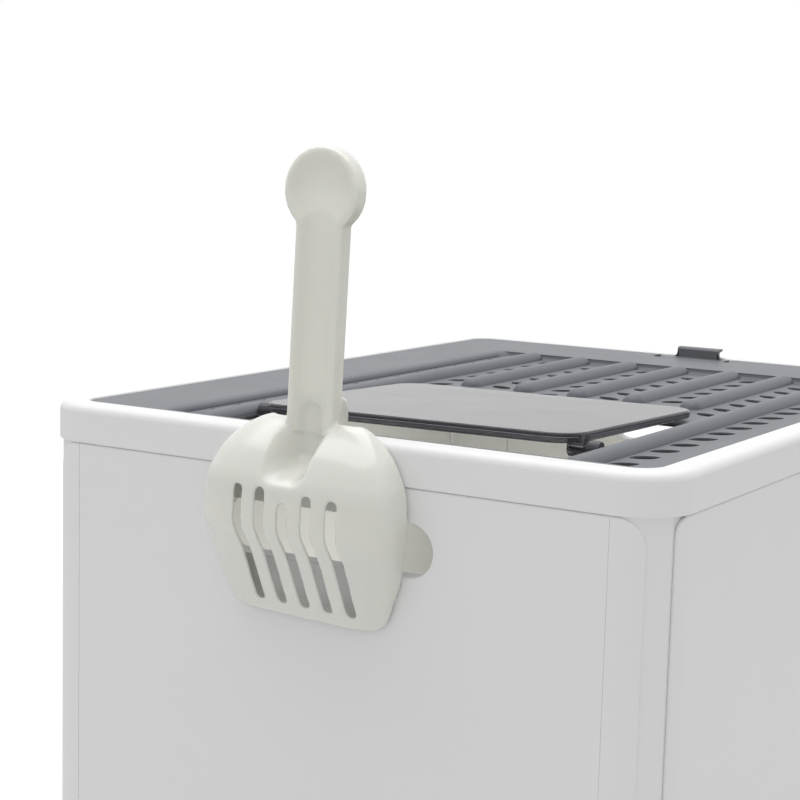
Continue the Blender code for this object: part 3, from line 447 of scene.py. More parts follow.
def loft(name: str, rings: Sequence[Sequence[Point]], closed: bool = False) -> Object:
    """Skin a row of rings that have the same number of points.

    Args:
        name: Name of the object.
        rings: The rings, in order.
        closed: Whether the last ring joins the first. Otherwise both ends are capped.

    Returns:
        A closed solid.
    """
    shape = bmesh.new()
    rows = [[shape.verts.new(point) for point in ring] for ring in rings]
    count = len(rows[0])
    for low, high in list(zip(rows, rows[1:])) + ([(rows[-1], rows[0])] if closed else []):
        for i in range(count):
            j = (i + 1) % count
            shape.faces.new((low[i], low[j], high[j], high[i]))
    if not closed:
        shape.faces.new(rows[0])
        shape.faces.new(rows[-1])
    return object_from(name, shape)


def prism(name: str, outline: Sequence[Plan], axis: Axis, start: float, end: float) -> Object:
    """Push a flat outline along an axis.

    Args:
        name: Name of the object.
        outline: Points in the other two axes, in XYZ order.
        axis: The axis it is pushed along.
        start: Where it starts on that axis.
        end: Where it ends.

    Returns:
        The solid.
    """
    at = axis.value
    return loft(name, [[(*plan[:at], along, *plan[at:]) for plan in outline]
                       for along in (start, end)])


def block(name: str, one: Point, other: Point) -> Object:
    """A box between two opposite corners."""
    (x0, x1), (y0, y1), (z0, z1) = (sorted(pair) for pair in zip(one, other))
    return prism(name, [(x0, y0), (x1, y0), (x1, y1), (x0, y1)], Axis.Z, z0, z1)


def arc(centre: Plan, radius: float, start: float, end: float, steps: int) -> list[Plan]:
    """Points along an arc between two angles in degrees."""
    angles = [math.radians(start + (end - start) * i / steps) for i in range(steps + 1)]
    return [(centre[0] + radius * math.cos(a), centre[1] + radius * math.sin(a)) for a in angles]


def circle(centre: Plan, radius: float, points: int) -> list[Plan]:
    """Points round a circle."""
    return arc(centre, radius, 0, 360 - 360 / points, points - 1)


def rounding(radius: float, steps: int = 6) -> list[Plan]:
    """Pairs of inset and drop round a rounded edge, from its side to its top."""
    angles = [math.radians(90 * i / steps) for i in range(steps + 1)]
    return [(radius * (1 - math.cos(a)), radius * (1 - math.sin(a))) for a in angles]


def rod(name: str, centre: Plan, radius: float, points: int, low: float, high: float) -> Object:
    """A round bar along X."""
    return prism(name, circle(centre, radius, points), Axis.X, low, high)


def rounded_rectangle(low: Plan, high: Plan, radius: float, steps: int = 12) -> list[Plan]:
    """Outline of a rectangle with round corners, anticlockwise.

    Args:
        low: Its low corner.
        high: Its high corner.
        radius: Radius of its corners.
        steps: Steps round each corner.

    Returns:
        The outline.
    """
    (x0, y0), (x1, y1) = low, high
    corners = ((x1 - radius, y0 + radius, -90), (x1 - radius, y1 - radius, 0),
               (x0 + radius, y1 - radius, 90), (x0 + radius, y0 + radius, 180))
    arcs = (arc((x, y), radius, start, start + 90, steps) for x, y, start in corners)
    return [plan for corner in arcs for plan in corner]


def stadium(centre: Plan, width: float, height: float) -> list[Plan]:
    """Outline of a slot with half-round ends."""
    reach = (width - height) / 2
    return (arc((centre[0] + reach, centre[1]), height / 2, -90, 90, 20)
            + arc((centre[0] - reach, centre[1]), height / 2, 90, 270, 20))


def smoothstep(value: float) -> float:
    """Ease from 0 to 1."""
    value = max(0.0, min(1.0, value))
    return value * value * (3 - 2 * value)


def bake(piece: Object) -> None:
    """Turn an object's modifiers into its mesh.

    Args:
        piece: The object.
    """
    graph = bpy.context.evaluated_depsgraph_get()
    baked = bpy.data.meshes.new_from_object(piece.evaluated_get(graph))
    piece.modifiers.clear()
    piece.data = baked


def modify(piece: Object, kind: str, **settings: object) -> None:
    """Put an object's mesh through one modifier.

    Args:
        piece: The object that is changed.
        kind: The modifier's type.
        settings: Properties of the modifier.
    """
    step = piece.modifiers.new(kind.lower(), kind)
    for key, value in settings.items():
        setattr(step, key, value)
    bake(piece)


def combine(piece: Object, others: Sequence[Object], operation: str) -> None:
    """Boolean an object with others, which are used up.

    Args:
        piece: The object that is changed.
        others: The objects that are added or cut away.
        operation: UNION or DIFFERENCE.
    """
    for other in others:
        modify(piece, "BOOLEAN", operation=operation, solver="EXACT", object=other)
        bpy.data.objects.remove(other, do_unlink=True)


def gather(piece: Object, others: Sequence[Object]) -> None:
    """Add the closed shells of others, which are used up, to an object's mesh.

    Args:
        piece: The object that is added to.
        others: The objects whose shells are added.
    """
    shape = bmesh.new()
    shape.from_mesh(piece.data)
    for other in others:
        shape.from_mesh(other.data)
        bpy.data.objects.remove(other, do_unlink=True)
    piece.data = mesh_from(piece.name, shape)


def soften(piece: Object, width: float, segments: int = 2, angle: float = 35.0) -> None:
    """Round a mesh's hard edges and shade it smooth, as a mould leaves it.

    Args:
        piece: The object.
        width: Width of the rounding, or zero for none.
        segments: Faces across each rounding.
        angle: Edges sharper than this many degrees are rounded.
    """
    if width:
        modify(piece, "BEVEL", width=width, segments=segments, limit_method="ANGLE",
               angle_limit=math.radians(angle), harden_normals=True)
    piece.data.shade_smooth()
    piece.data.set_sharp_from_angle(angle=math.radians(angle + 5))
    modify(piece, "WEIGHTED_NORMAL", keep_sharp=True)


def dress(piece: Object, part: Part, finish: Material, slot: str, *nodes: str) -> None:
    """Finish a piece: its material, the body it rides on and the CAD nodes it stands for.

    Args:
        piece: The object, at the origin.
        part: The body it moves with.
        finish: Its material.
        slot: Not used.
        nodes: CAD nodes that it replaces.
    """
    piece.data.materials.clear()
    piece.data.materials.append(finish)
    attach(piece, part.value)
    if nodes:
        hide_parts(*nodes)
    LOG.info("%s: %d faces, rides on %s", piece.name, len(piece.data.polygons), part.value)


def refined(node: str, name: str, edge: float) -> Object:
    """A smooth, edge-rounded copy of a CAD node.

    Args:
        node: The CAD node.
        name: Name of the copy.
        edge: Width of its edge rounding.

    Returns:
        The copy, in the row frame.
    """
    shape = bmesh.new()
    shape.from_mesh(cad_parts[node].data)
    bmesh.ops.remove_doubles(shape, verts=shape.verts, dist=CAD_MERGE)
    bmesh.ops.dissolve_limit(shape, angle_limit=math.radians(CAD_FLAT), verts=shape.verts,
                             edges=shape.edges)
    made = put(name, mesh_from(name, shape))
    soften(made, edge)
    return made


# Geometry Nodes


class GeometryTree(Graph):
    """A Geometry Nodes tree with named inputs that ends in one mesh with one material."""

    def __init__(self, name: str) -> None:
        """Start an empty tree with its output and a Material input.

        Args:
            name: Its name.
        """
        super().__init__(bpy.data.node_groups.new(name, "GeometryNodeTree"))
        self.keys: dict[str, str] = {}
        self.tree.interface.new_socket("Geometry", in_out="OUTPUT",
                                       socket_type="NodeSocketGeometry")
        self.source = self.tree.nodes.new("NodeGroupInput")
        self.feeds(Material="Material")

    def feeds(self, **kinds: str) -> list[Wire]:
        """Add named inputs.

        Args:
            kinds: Float, Int, Vector, Object or Material for each name.

        Returns:
            The inputs as wires, in order.
        """
        for name, kind in kinds.items():
            socket = self.tree.interface.new_socket(name, in_out="INPUT",
                                                    socket_type=f"NodeSocket{kind}")
            self.keys[name] = socket.identifier
        return [Wire(self, self.source.outputs[name]) for name in kinds]

    def vector(self, x: Wire | float = 0.0, y: Wire | float = 0.0, z: Wire | float = 0.0) -> Wire:
        """A vector from three numbers or wires."""
        return self.node("ShaderNodeCombineXYZ", {0: x, 1: y, 2: z})

    def row(self, count: Wire, start: Wire | Point, offset: Wire) -> Wire:
        """A row of points."""
        values = {"Count": count, "Start Location": start, "Offset": offset}
        return self.node("GeometryNodeMeshLine", values, mode="OFFSET")

    def scatter(self, points: Wire, instance: Wire, **more: Wire) -> Wire:
        """An instance on every point."""
        values = {"Points": points, "Instance": instance, **more}
        return self.node("GeometryNodeInstanceOnPoints", values)

    def end(self, mesh: Wire) -> None:
        """Realise instances, set the material and send the mesh out.

        Args:
            mesh: The instances.
        """
        whole = self.node("GeometryNodeRealizeInstances", {0: mesh})
        material = Wire(self, self.source.outputs["Material"])
        painted = self.node("GeometryNodeSetMaterial", {"Geometry": whole, "Material": material})
        self.node("NodeGroupOutput", {0: painted})

    def run(self, name: str, **values: object) -> Object:
        """Evaluate the tree on an empty mesh and keep the result as a plain mesh.

        Args:
            name: Name of the new object.
            values: Values of the tree's inputs.

        Returns:
            The object.
        """
        host = put(name, bpy.data.meshes.new(name))
        step = host.modifiers.new(name, "NODES")
        step.node_group = self.tree
        for key, value in values.items():
            step[self.keys[key]] = value
        bake(host)
        shape = bmesh.new()
        shape.from_mesh(host.data)
        bpy.data.objects.remove(host, do_unlink=True)
        return object_from(name, shape)


@dataclass
class RibBars:
    """Parallel half-round bars along +Y, whose ends are domed over a length."""

    finish: Material
    width: float
    rise: float
    dome: float = 0.0075
    station_pitch: float = 0.0016
    thinnest: float = 0.0004

    def __post_init__(self) -> None:
        """Build the tree: a half-round profile swept along each bar, scaled down at its ends."""
        self.tree = tree = GeometryTree("rib_bars")
        count, pitch, start, length, width, rise, dome, stations = tree.feeds(
            Count="Int", Pitch="Float", Start="Vector", Length="Float", Width="Float",
            Rise="Float", Dome="Float", Stations="Int")
        line = tree.node("GeometryNodeCurvePrimitiveLine",
                         {"Start": (0.0, 0.0, 0.0), "End": tree.vector(y=length)})
        line = tree.node("GeometryNodeResampleCurve", {"Curve": line, "Count": stations},
                         mode="COUNT")
        along = tree.node("GeometryNodeSplineParameter", output="Factor") * length
        scale = 1.0
        for distance in (along, length - along):
            rest = 1 - distance.math("DIVIDE", dome).clamp()
            scale = (1 - rest * rest).clamp(self.thinnest).math("SQRT") * scale
        arch = tree.node("GeometryNodeCurveArc", {
            "Resolution": 25, "Radius": 1.0, "Start Angle": math.pi, "Sweep Angle": math.pi},
            mode="RADIUS")
        arch = tree.node("GeometryNodeSetSplineCyclic", {0: arch, "Cyclic": True})
        arch = tree.node("GeometryNodeTransform",
                         {"Geometry": arch, "Scale": tree.vector(width * 0.5, rise, 1.0)})
        bar = tree.node("GeometryNodeCurveToMesh", {
            "Curve": line, "Profile Curve": arch, "Scale": scale, "Fill Caps": True})
        tree.end(tree.scatter(tree.row(count, start, tree.vector(pitch)), bar))

    def build(self, name: str, count: int, pitch: float, start: Point, length: float) -> Object:
        """Make a set of bars.

        Args:
            name: Name of the object.
            count: Number of bars.
            pitch: Distance between them.
            start: Foot of the first bar's near end.
            length: Length of a bar.

        Returns:
            The bars as one object.
        """
        return self.tree.run(name, Material=self.finish, Count=count, Pitch=pitch, Start=start,
                             Length=length, Width=self.width, Rise=self.rise, Dome=self.dome,
                             Stations=int(length / self.station_pitch))


@dataclass
class SlotField:
    """Grid of lens-shaped cutters for the slots of a plate.

    The pitch lies between the slots of a channel, and the spread between channels.
    """

    finish: Material
    length: float
    width: float
    pitch: float
    spread: float
    low: float
    high: float
    tip_share: float = 0.97

    def __post_init__(self) -> None:
        """Build the tree: a lens on every point of a grid."""
        self.tree = tree = GeometryTree("slot_field")
        lens, start, turn, columns, spread, rows, step = tree.feeds(
            Lens="Object", Start="Vector", Turn="Float", Columns="Int", Spread="Float",
            Rows="Int", Step="Float")
        column = tree.row(rows, (0.0, 0.0, 0.0), tree.vector(y=step))
        grid = tree.scatter(tree.row(columns, start, tree.vector(spread)), column)
        grid = tree.node("GeometryNodeRealizeInstances", {0: grid})
        shape = tree.node("GeometryNodeObjectInfo", {"Object": lens}, "Geometry")
        rotation = tree.node("FunctionNodeEulerToRotation", {0: tree.vector(z=turn)})
        tree.end(tree.scatter(grid, shape, Rotation=rotation))

    def lens(self) -> Object:
        """One lens as a prism through the plate, with rounded tips.

        Returns:
            The lens, which stands at the origin.
        """
        a, b = self.length / 2, self.width / 2
        radius = (a * a + b * b) / (2 * b)
        reach = math.degrees(math.asin(a / radius)) * self.tip_share
        outline = arc((0.0, radius - b), radius, -90 - reach, -90 + reach, 20)
        outline += arc((0.0, b - radius), radius, 90 - reach, 90 + reach, 20)
        return prism("lens", outline, Axis.Z, self.low - PAST, self.high + PAST)

    def build(self, name: str, x: float, columns: int, y: float, rows: int,
              degrees: float) -> Object:
        """Make the cutters of some channels.

        Args:
            name: Name of the object.
            x: Middle of the first channel.
            columns: Number of channels.
            y: Middle of the first slot.
            rows: Number of slots in a channel.
            degrees: Turn of each slot.

        Returns:
            The cutters as one object.
        """
        lens = self.lens()
        made = self.tree.run(name, Material=self.finish, Lens=lens, Start=(x, y, 0.0),
                             Turn=math.radians(degrees), Columns=columns, Spread=self.spread,
                             Rows=rows, Step=self.pitch)
        bpy.data.objects.remove(lens, do_unlink=True)
        return made


# The litter box, piece by piece


@dataclass(frozen=True)
class BoxPlan:
    """Sizes that the whole box shares, and where its middle lies in the row frame."""

    width: float = 0.410
    depth: float = 0.530
    height: float = 0.380
    corner: float = 0.032
    rim_height: float = 0.0225
    rim_width: float = 0.018
    gap: float = 0.0003
    skin: float = 0.0023

    @property
    def shift(self) -> Vector:
        """From the box's own middle to the row frame's origin."""
        low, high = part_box("top_frame")
        return Vector((0.0, (low.y + high.y) / 2, 0.0))

    @property
    def corner_centre(self) -> Plan:
        """Centre of the front right corner's arc, as distances from the middle."""
        return self.width / 2 - self.corner, self.depth / 2 - self.corner

    @property
    def seam(self) -> float:
        """Height of the top frame's lower edge."""
        return self.height - self.rim_height

    def loop(self, inset: float, height: float) -> list[Point]:
        """The outer outline, drawn in.

        Args:
            inset: How far.
            height: At which height.

        Returns:
            The outline.
        """
        half_x, half_y = self.width / 2 - inset, self.depth / 2 - inset
        outline = rounded_rectangle((-half_x, -half_y), (half_x, half_y), self.corner - inset, 24)
        return [(x, y, height) for x, y in outline]

    def settle(self, piece: Object) -> Object:
        """Move a mesh from the box's frame to the row frame."""
        piece.data.transform(Matrix.Translation(self.shift))
        return piece


PLAN = BoxPlan()


@dataclass
class TopFrame:
    """White inverted channel round the top, with the ledge that carries the lid.

    The ledge has a notch for the scoop's hook.
    """

    finish: Material
    outer_edge: float = 0.005
    inner_edge: float = 0.0015
    inner_depth: float = 0.028
    ledge_depth: float = 0.0078
    ledge_width: float = 0.008
    ledge_thickness: float = 0.0024
    lip: float = 0.0004
    notch_half: float = 0.0085
    notch_x: float = -0.0026
    notch_reach: float = 0.018
    notch_below: float = 0.012
    notch_above: float = 0.005

    def profile(self) -> list[Plan]:
        """Section as pairs of inset and height.

        Returns:
            The closed section, from the outer lower edge upwards.
        """
        top, width, skin = PLAN.height, PLAN.rim_width, PLAN.skin
        ledge = top - self.ledge_depth
        return [
            (self.lip, PLAN.seam), (0.0, PLAN.seam + self.lip),
            *((inset, top - drop) for inset, drop in rounding(self.outer_edge, 8)),
            *((width - inset, top - drop) for drop, inset in rounding(self.inner_edge, 4)),
            (width, ledge), (width + self.ledge_width, ledge),
            (width + self.ledge_width, ledge - self.ledge_thickness),
            (width, ledge - self.ledge_thickness),
            (width, top - self.inner_depth), (width - skin, top - self.inner_depth),
            (width - skin, top - skin), (skin, top - skin), (skin, PLAN.seam),
        ]

    def build(self) -> None:
        """Make and dress the top frame."""
        rim = loft("rim_moulding", [PLAN.loop(*pair) for pair in self.profile()], closed=True)
        inner = -PLAN.depth / 2 + PLAN.rim_width
        ledge = PLAN.height - self.ledge_depth
        notch = block("notch", (self.notch_x - self.notch_half, inner, ledge - self.notch_below),
                      (self.notch_x + self.notch_half, inner + self.notch_reach,
                       ledge + self.notch_above))
        combine(rim, [notch], "DIFFERENCE")
        soften(rim, 0.0, angle=30)
        dress(PLAN.settle(rim), Part.BOX, self.finish, "white_plastic", "top_frame")


@dataclass
class Walls:
    """End panels, side panels and the curved posts between them, all just inside the rim."""

    finish: Material
    inset: float = 0.0005
    thickness: float = 0.0025
    edge: float = 0.0005
    panel_corner: float = 0.010
    strip_corner: float = 0.017
    side_wrap: float = 24.0
    strip_wrap: float = 35.0
    strip_sink: float = 0.0006
    flange: float = 0.006
    base_top: float = 0.0433
    floor_top: float = 0.0063
    drawer_top: float = 0.1271
    tongue: float = 0.0018
    tongue_height: float = 0.012
    tongue_root: float = 0.008
    hole_width: float = 0.142
    hole_height: float = 0.030
    hole_drop: float = 0.0342
    collar_wall: float = 0.002
    collar_depth: float = 0.010
    round_over: float = 0.0014
    low_round: float = 0.0005
    hole_round: float = 0.0008
    fine_edge: float = 0.00015
    seam_reach: float = 0.0002
    belly: float = 0.0013
    belly_start: float = 0.35
    belly_run: float = 4.5
    belly_end: float = 85.0
    seam_angle: float = 0.2
    seam_steps: tuple[float, ...] = (-0.1, 0.0, 0.8, 1.6, 2.4, 3.4)
    edge_steps: tuple[float, ...] = (0.003, 0.005, 0.008, 0.012, 0.017)
    end_steps: tuple[float, ...] = (0.002, 0.003, 0.004, 0.006, 0.008, 0.010, 0.012, 0.014, 0.017)
    least_step: float = 0.0004

    def corner_point(self, inset: float, degrees: float, side_x: int, side_y: int) -> Plan:
        """Point on a corner's arc.

        Args:
            inset: How far inside the rim's outline.
            degrees: Zero looks to the long side.
            side_x: -1 on the left, 1 on the right.
            side_y: -1 at the front, 1 at the rear.

        Returns:
            The point in X and Y.
        """
        x, y = PLAN.corner_centre
        radius, angle = PLAN.corner - inset, math.radians(degrees)
        return side_x * (x + radius * math.cos(angle)), side_y * (y + radius * math.sin(angle))

    def eased(self, distance: float) -> float:
        """Extra inset of an outer face at a distance from its rounded edge."""
        short = max(0.0, self.round_over - distance)
        return self.round_over - math.sqrt(self.round_over ** 2 - short ** 2)

    def columns(self, side_x: int, side_y: int, inner: float, low: float, high: float,
                free_end: float, last: float, round_off: float) -> list[list[Point]]:
        """Rings round a curved wall with round outer edges, whose free end has round corners.

        Args:
            side_x: -1 on the left, 1 on the right.
            side_y: -1 at the front, 1 at the rear.
            inner: Inset of the inner face.
            low: Lower edge.
            high: Upper edge.
            free_end: Degrees of the free end.
            last: Degrees of the other end.
            round_off: Radius of the free end's corners.

        Returns:
            The rings, from the free end on.
        """
        fine = [inset for inset, _ in rounding(self.round_over)]
        whole = abs(math.radians(last - free_end)) * (PLAN.corner - self.inset)
        places = [s for s in (*fine, *self.end_steps) if s < whole - self.least_step] + [whole]
        rings = []
        for s in places:
            degrees = free_end + (last - free_end) * s / whole
            drop = round_off - math.sqrt(round_off ** 2 - max(0.0, round_off - s) ** 2)
            points = []
            for step in (*fine, *self.edge_steps):
                t = drop + step
                cornered = s < round_off and t < round_off
                edge = min(s, t)
                if cornered:
                    edge = round_off - math.hypot(round_off - s, round_off - t)
                inset = self.inset + self.eased(max(0.0, edge))
                points.append((*self.corner_point(inset, degrees, side_x, side_y), t))
            back = self.corner_point(inner, degrees, side_x, side_y)
            rings.append([(x, y, low + t) for x, y, t in points]
                         + [(x, y, high - t) for x, y, t in points[::-1]]
                         + [(*back, high - drop), (*back, low + drop)])
        return rings

    def tongues(self, axis: Axis, side: int, *spans: Plan) -> list[Object]:
        """Tongues that reach from a panel into the rim or the base.

        Args:
            axis: The axis that the panel looks along.
            side: Which way it looks, -1 or 1.
            spans: The lowest and highest point of each.

        Returns:
            The tongues, in the box's frame.
        """
        size = (PLAN.width, PLAN.depth)[axis.value]
        outer = side * (size / 2 - PLAN.skin - PLAN.gap)
        inner = outer - side * self.tongue
        span = PLAN.corner_centre[1 - axis.value] - self.flange - 2 * PLAN.gap
        made = []
        for low, high in spans:
            one, other = (outer, -span, low), (inner, span, high)
            if axis is Axis.Y:
                one, other = (-span, outer, low), (span, inner, high)
            made.append(block("tongue", one, other))
        return made

    def end_panel(self, name: str, side_y: int, low: float) -> Object:
        """Panel of a short side with its hand hole, collar and tongues.

        Args:
            name: Name of the piece.
            side_y: -1 at the front, 1 at the rear.
            low: Its lower edge.

        Returns:
            The panel, in the box's frame.
        """
        face = side_y * (PLAN.depth / 2 - self.inset)
        back = face - side_y * self.thickness
        half, high = PLAN.corner_centre[0] - PLAN.gap, PLAN.seam - PLAN.gap
        section = [(back, low)]
        section += [(face - side_y * inset, low + rise)
                    for rise, inset in rounding(self.low_round, 3)]
        section += [(face - side_y * inset, high - drop)
                    for inset, drop in rounding(self.round_over)]
        panel = prism(name, [*section, (back, high)], Axis.X, -half, half)
        spans = [(high - self.tongue_root, high + self.tongue_height)]
        if side_y > 0:
            spans.append((low - self.tongue_height, low + self.tongue_root))
        centre, end = (0.0, PLAN.seam - self.hole_drop), back - side_y * self.collar_depth
        outline = stadium(centre, self.hole_width + 2 * self.collar_wall,
                          self.hole_height + 2 * self.collar_wall)
        collar = prism("collar", outline, Axis.Y, (face + back) / 2, end)
        combine(panel, [*self.tongues(Axis.Y, side_y, *spans), collar], "UNION")
        flare = [(self.hole_round, face + side_y * PAST)]
        flare += [(out, face - side_y * depth) for depth, out in rounding(self.hole_round)]
        flare.append((0.0, end - side_y * PAST))
        rings = [[(x, y, z) for x, z in stadium(centre, self.hole_width + 2 * out,
                                                self.hole_height + 2 * out)]
                 for out, y in flare]
        combine(panel, [loft("hole", rings)], "DIFFERENCE")
        soften(panel, self.fine_edge)
        return panel

    def side_panel(self, name: str, side_x: int) -> Object:
        """Panel of a long side, wrapped a little way round both corners.

        Args:
            name: Name of the piece.
            side_x: -1 on the left, 1 on the right.

        Returns:
            The panel, in the box's frame.
        """
        low, high = self.base_top + PLAN.gap, PLAN.seam - PLAN.gap
        front, rear = (self.columns(side_x, side_y, self.inset + self.thickness, low, high,
                                    self.side_wrap, 0.0, self.panel_corner)
                       for side_y in (-1, 1))
        panel = loft(name, front + rear[::-1])
        gather(panel, self.tongues(Axis.X, side_x,
                                   (high - self.tongue_root, high + self.tongue_height),
                                   (low - self.tongue_height, low + self.tongue_root)))
        soften(panel, 0.0)
        return panel

    def post(self, name: str, side_x: int, side_y: int) -> Object:
        """Curved corner post with its proud strip.

        Args:
            name: Name of the piece.
            side_x: -1 on the left, 1 on the right.
            side_y: -1 at the front, 1 at the rear.

        Returns:
            The post, in the box's frame.
        """
        outer = self.inset + self.thickness + PLAN.gap
        low, high = self.floor_top + PLAN.gap, PLAN.height - PLAN.skin - PLAN.gap
        centre_x, centre_y = PLAN.corner_centre
        free = self.side_wrap + self.seam_angle
        angles = [4.0 * i for i in range(6)] + [free + step for step in self.seam_steps]
        angles += [29.0 + 61.0 * i / 17 for i in range(18)]
        plans = []
        for inset, belly in ((outer, self.belly), (outer + self.thickness, 0.0)):
            reach = PLAN.corner - inset
            plan = [(side_x * (centre_x + reach), side_y * (centre_y - self.flange))]
            for a in angles:
                swell = 0.0
                if free <= a < self.belly_end:
                    ease = smoothstep((a - free) / self.belly_run)
                    swell = self.belly_start + (1 - self.belly_start) * ease
                plan.append(self.corner_point(inset - belly * swell, a, side_x, side_y))
            plan.append((side_x * (centre_x - self.flange), side_y * (centre_y + reach)))
            plans.append(plan)
        post = loft(name, [[(*out, low), (*out, high), (*back, high), (*back, low)]
                           for out, back in zip(*plans)])
        soften(post, self.edge, 3)
        rings = self.columns(side_x, side_y, outer + self.strip_sink, self.base_top + PLAN.gap,
                             PLAN.seam - PLAN.gap, 90 - self.strip_wrap, 90.0, self.strip_corner)
        rings.append([(x - side_x * self.seam_reach, y, z) for x, y, z in rings[-1]])
        gather(post, [loft("strip", rings)])
        soften(post, 0.0)
        return post

    def build(self) -> None:
        """Make and dress all the walls."""
        made = {
            "front_panel": self.end_panel("front_panel_moulding", -1,
                                          self.drawer_top + 2 * PLAN.gap),
            "rear_panel": self.end_panel("rear_panel_moulding", 1, self.base_top + PLAN.gap),
            "left_panel": self.side_panel("left_panel_moulding", -1),
            "right_panel": self.side_panel("right_panel_moulding", 1),
        }
        for side_y, end in ((-1, "front"), (1, "rear")):
            for side_x, side in ((-1, "left"), (1, "right")):
                node = f"{end}_{side}_post"
                made[node] = self.post(f"{node}_moulding", side_x, side_y)
        for node, piece in made.items():
            dress(PLAN.settle(piece), Part.BOX, self.finish, "white_plastic", node)


@dataclass
class LowerBox:
    """Base, pads, pan, its front and the guides, refined from their CAD solids."""

    white: Material
    grey: Material
    rubber: Material
    edge: float = 0.0006

    def build(self) -> None:
        """Make and dress the lower pieces."""
        rows = [(node, Part.BOX, self.white, "white_plastic")
                for node in ("base", "left_guide", "right_guide")]
        rows += [("litter_pan", Part.DRAWER, self.grey, "grey_plastic"),
                 ("drawer_front", Part.DRAWER, self.white, "white_plastic")]
        rows += [(f"foot_{end}_{side}", Part.BOX, self.rubber, "rubber")
                 for end in ("front", "rear") for side in ("left", "right")]
        for node, part, finish, slot in rows:
            dress(refined(node, f"{node}_moulding", self.edge), part, finish, slot, node)


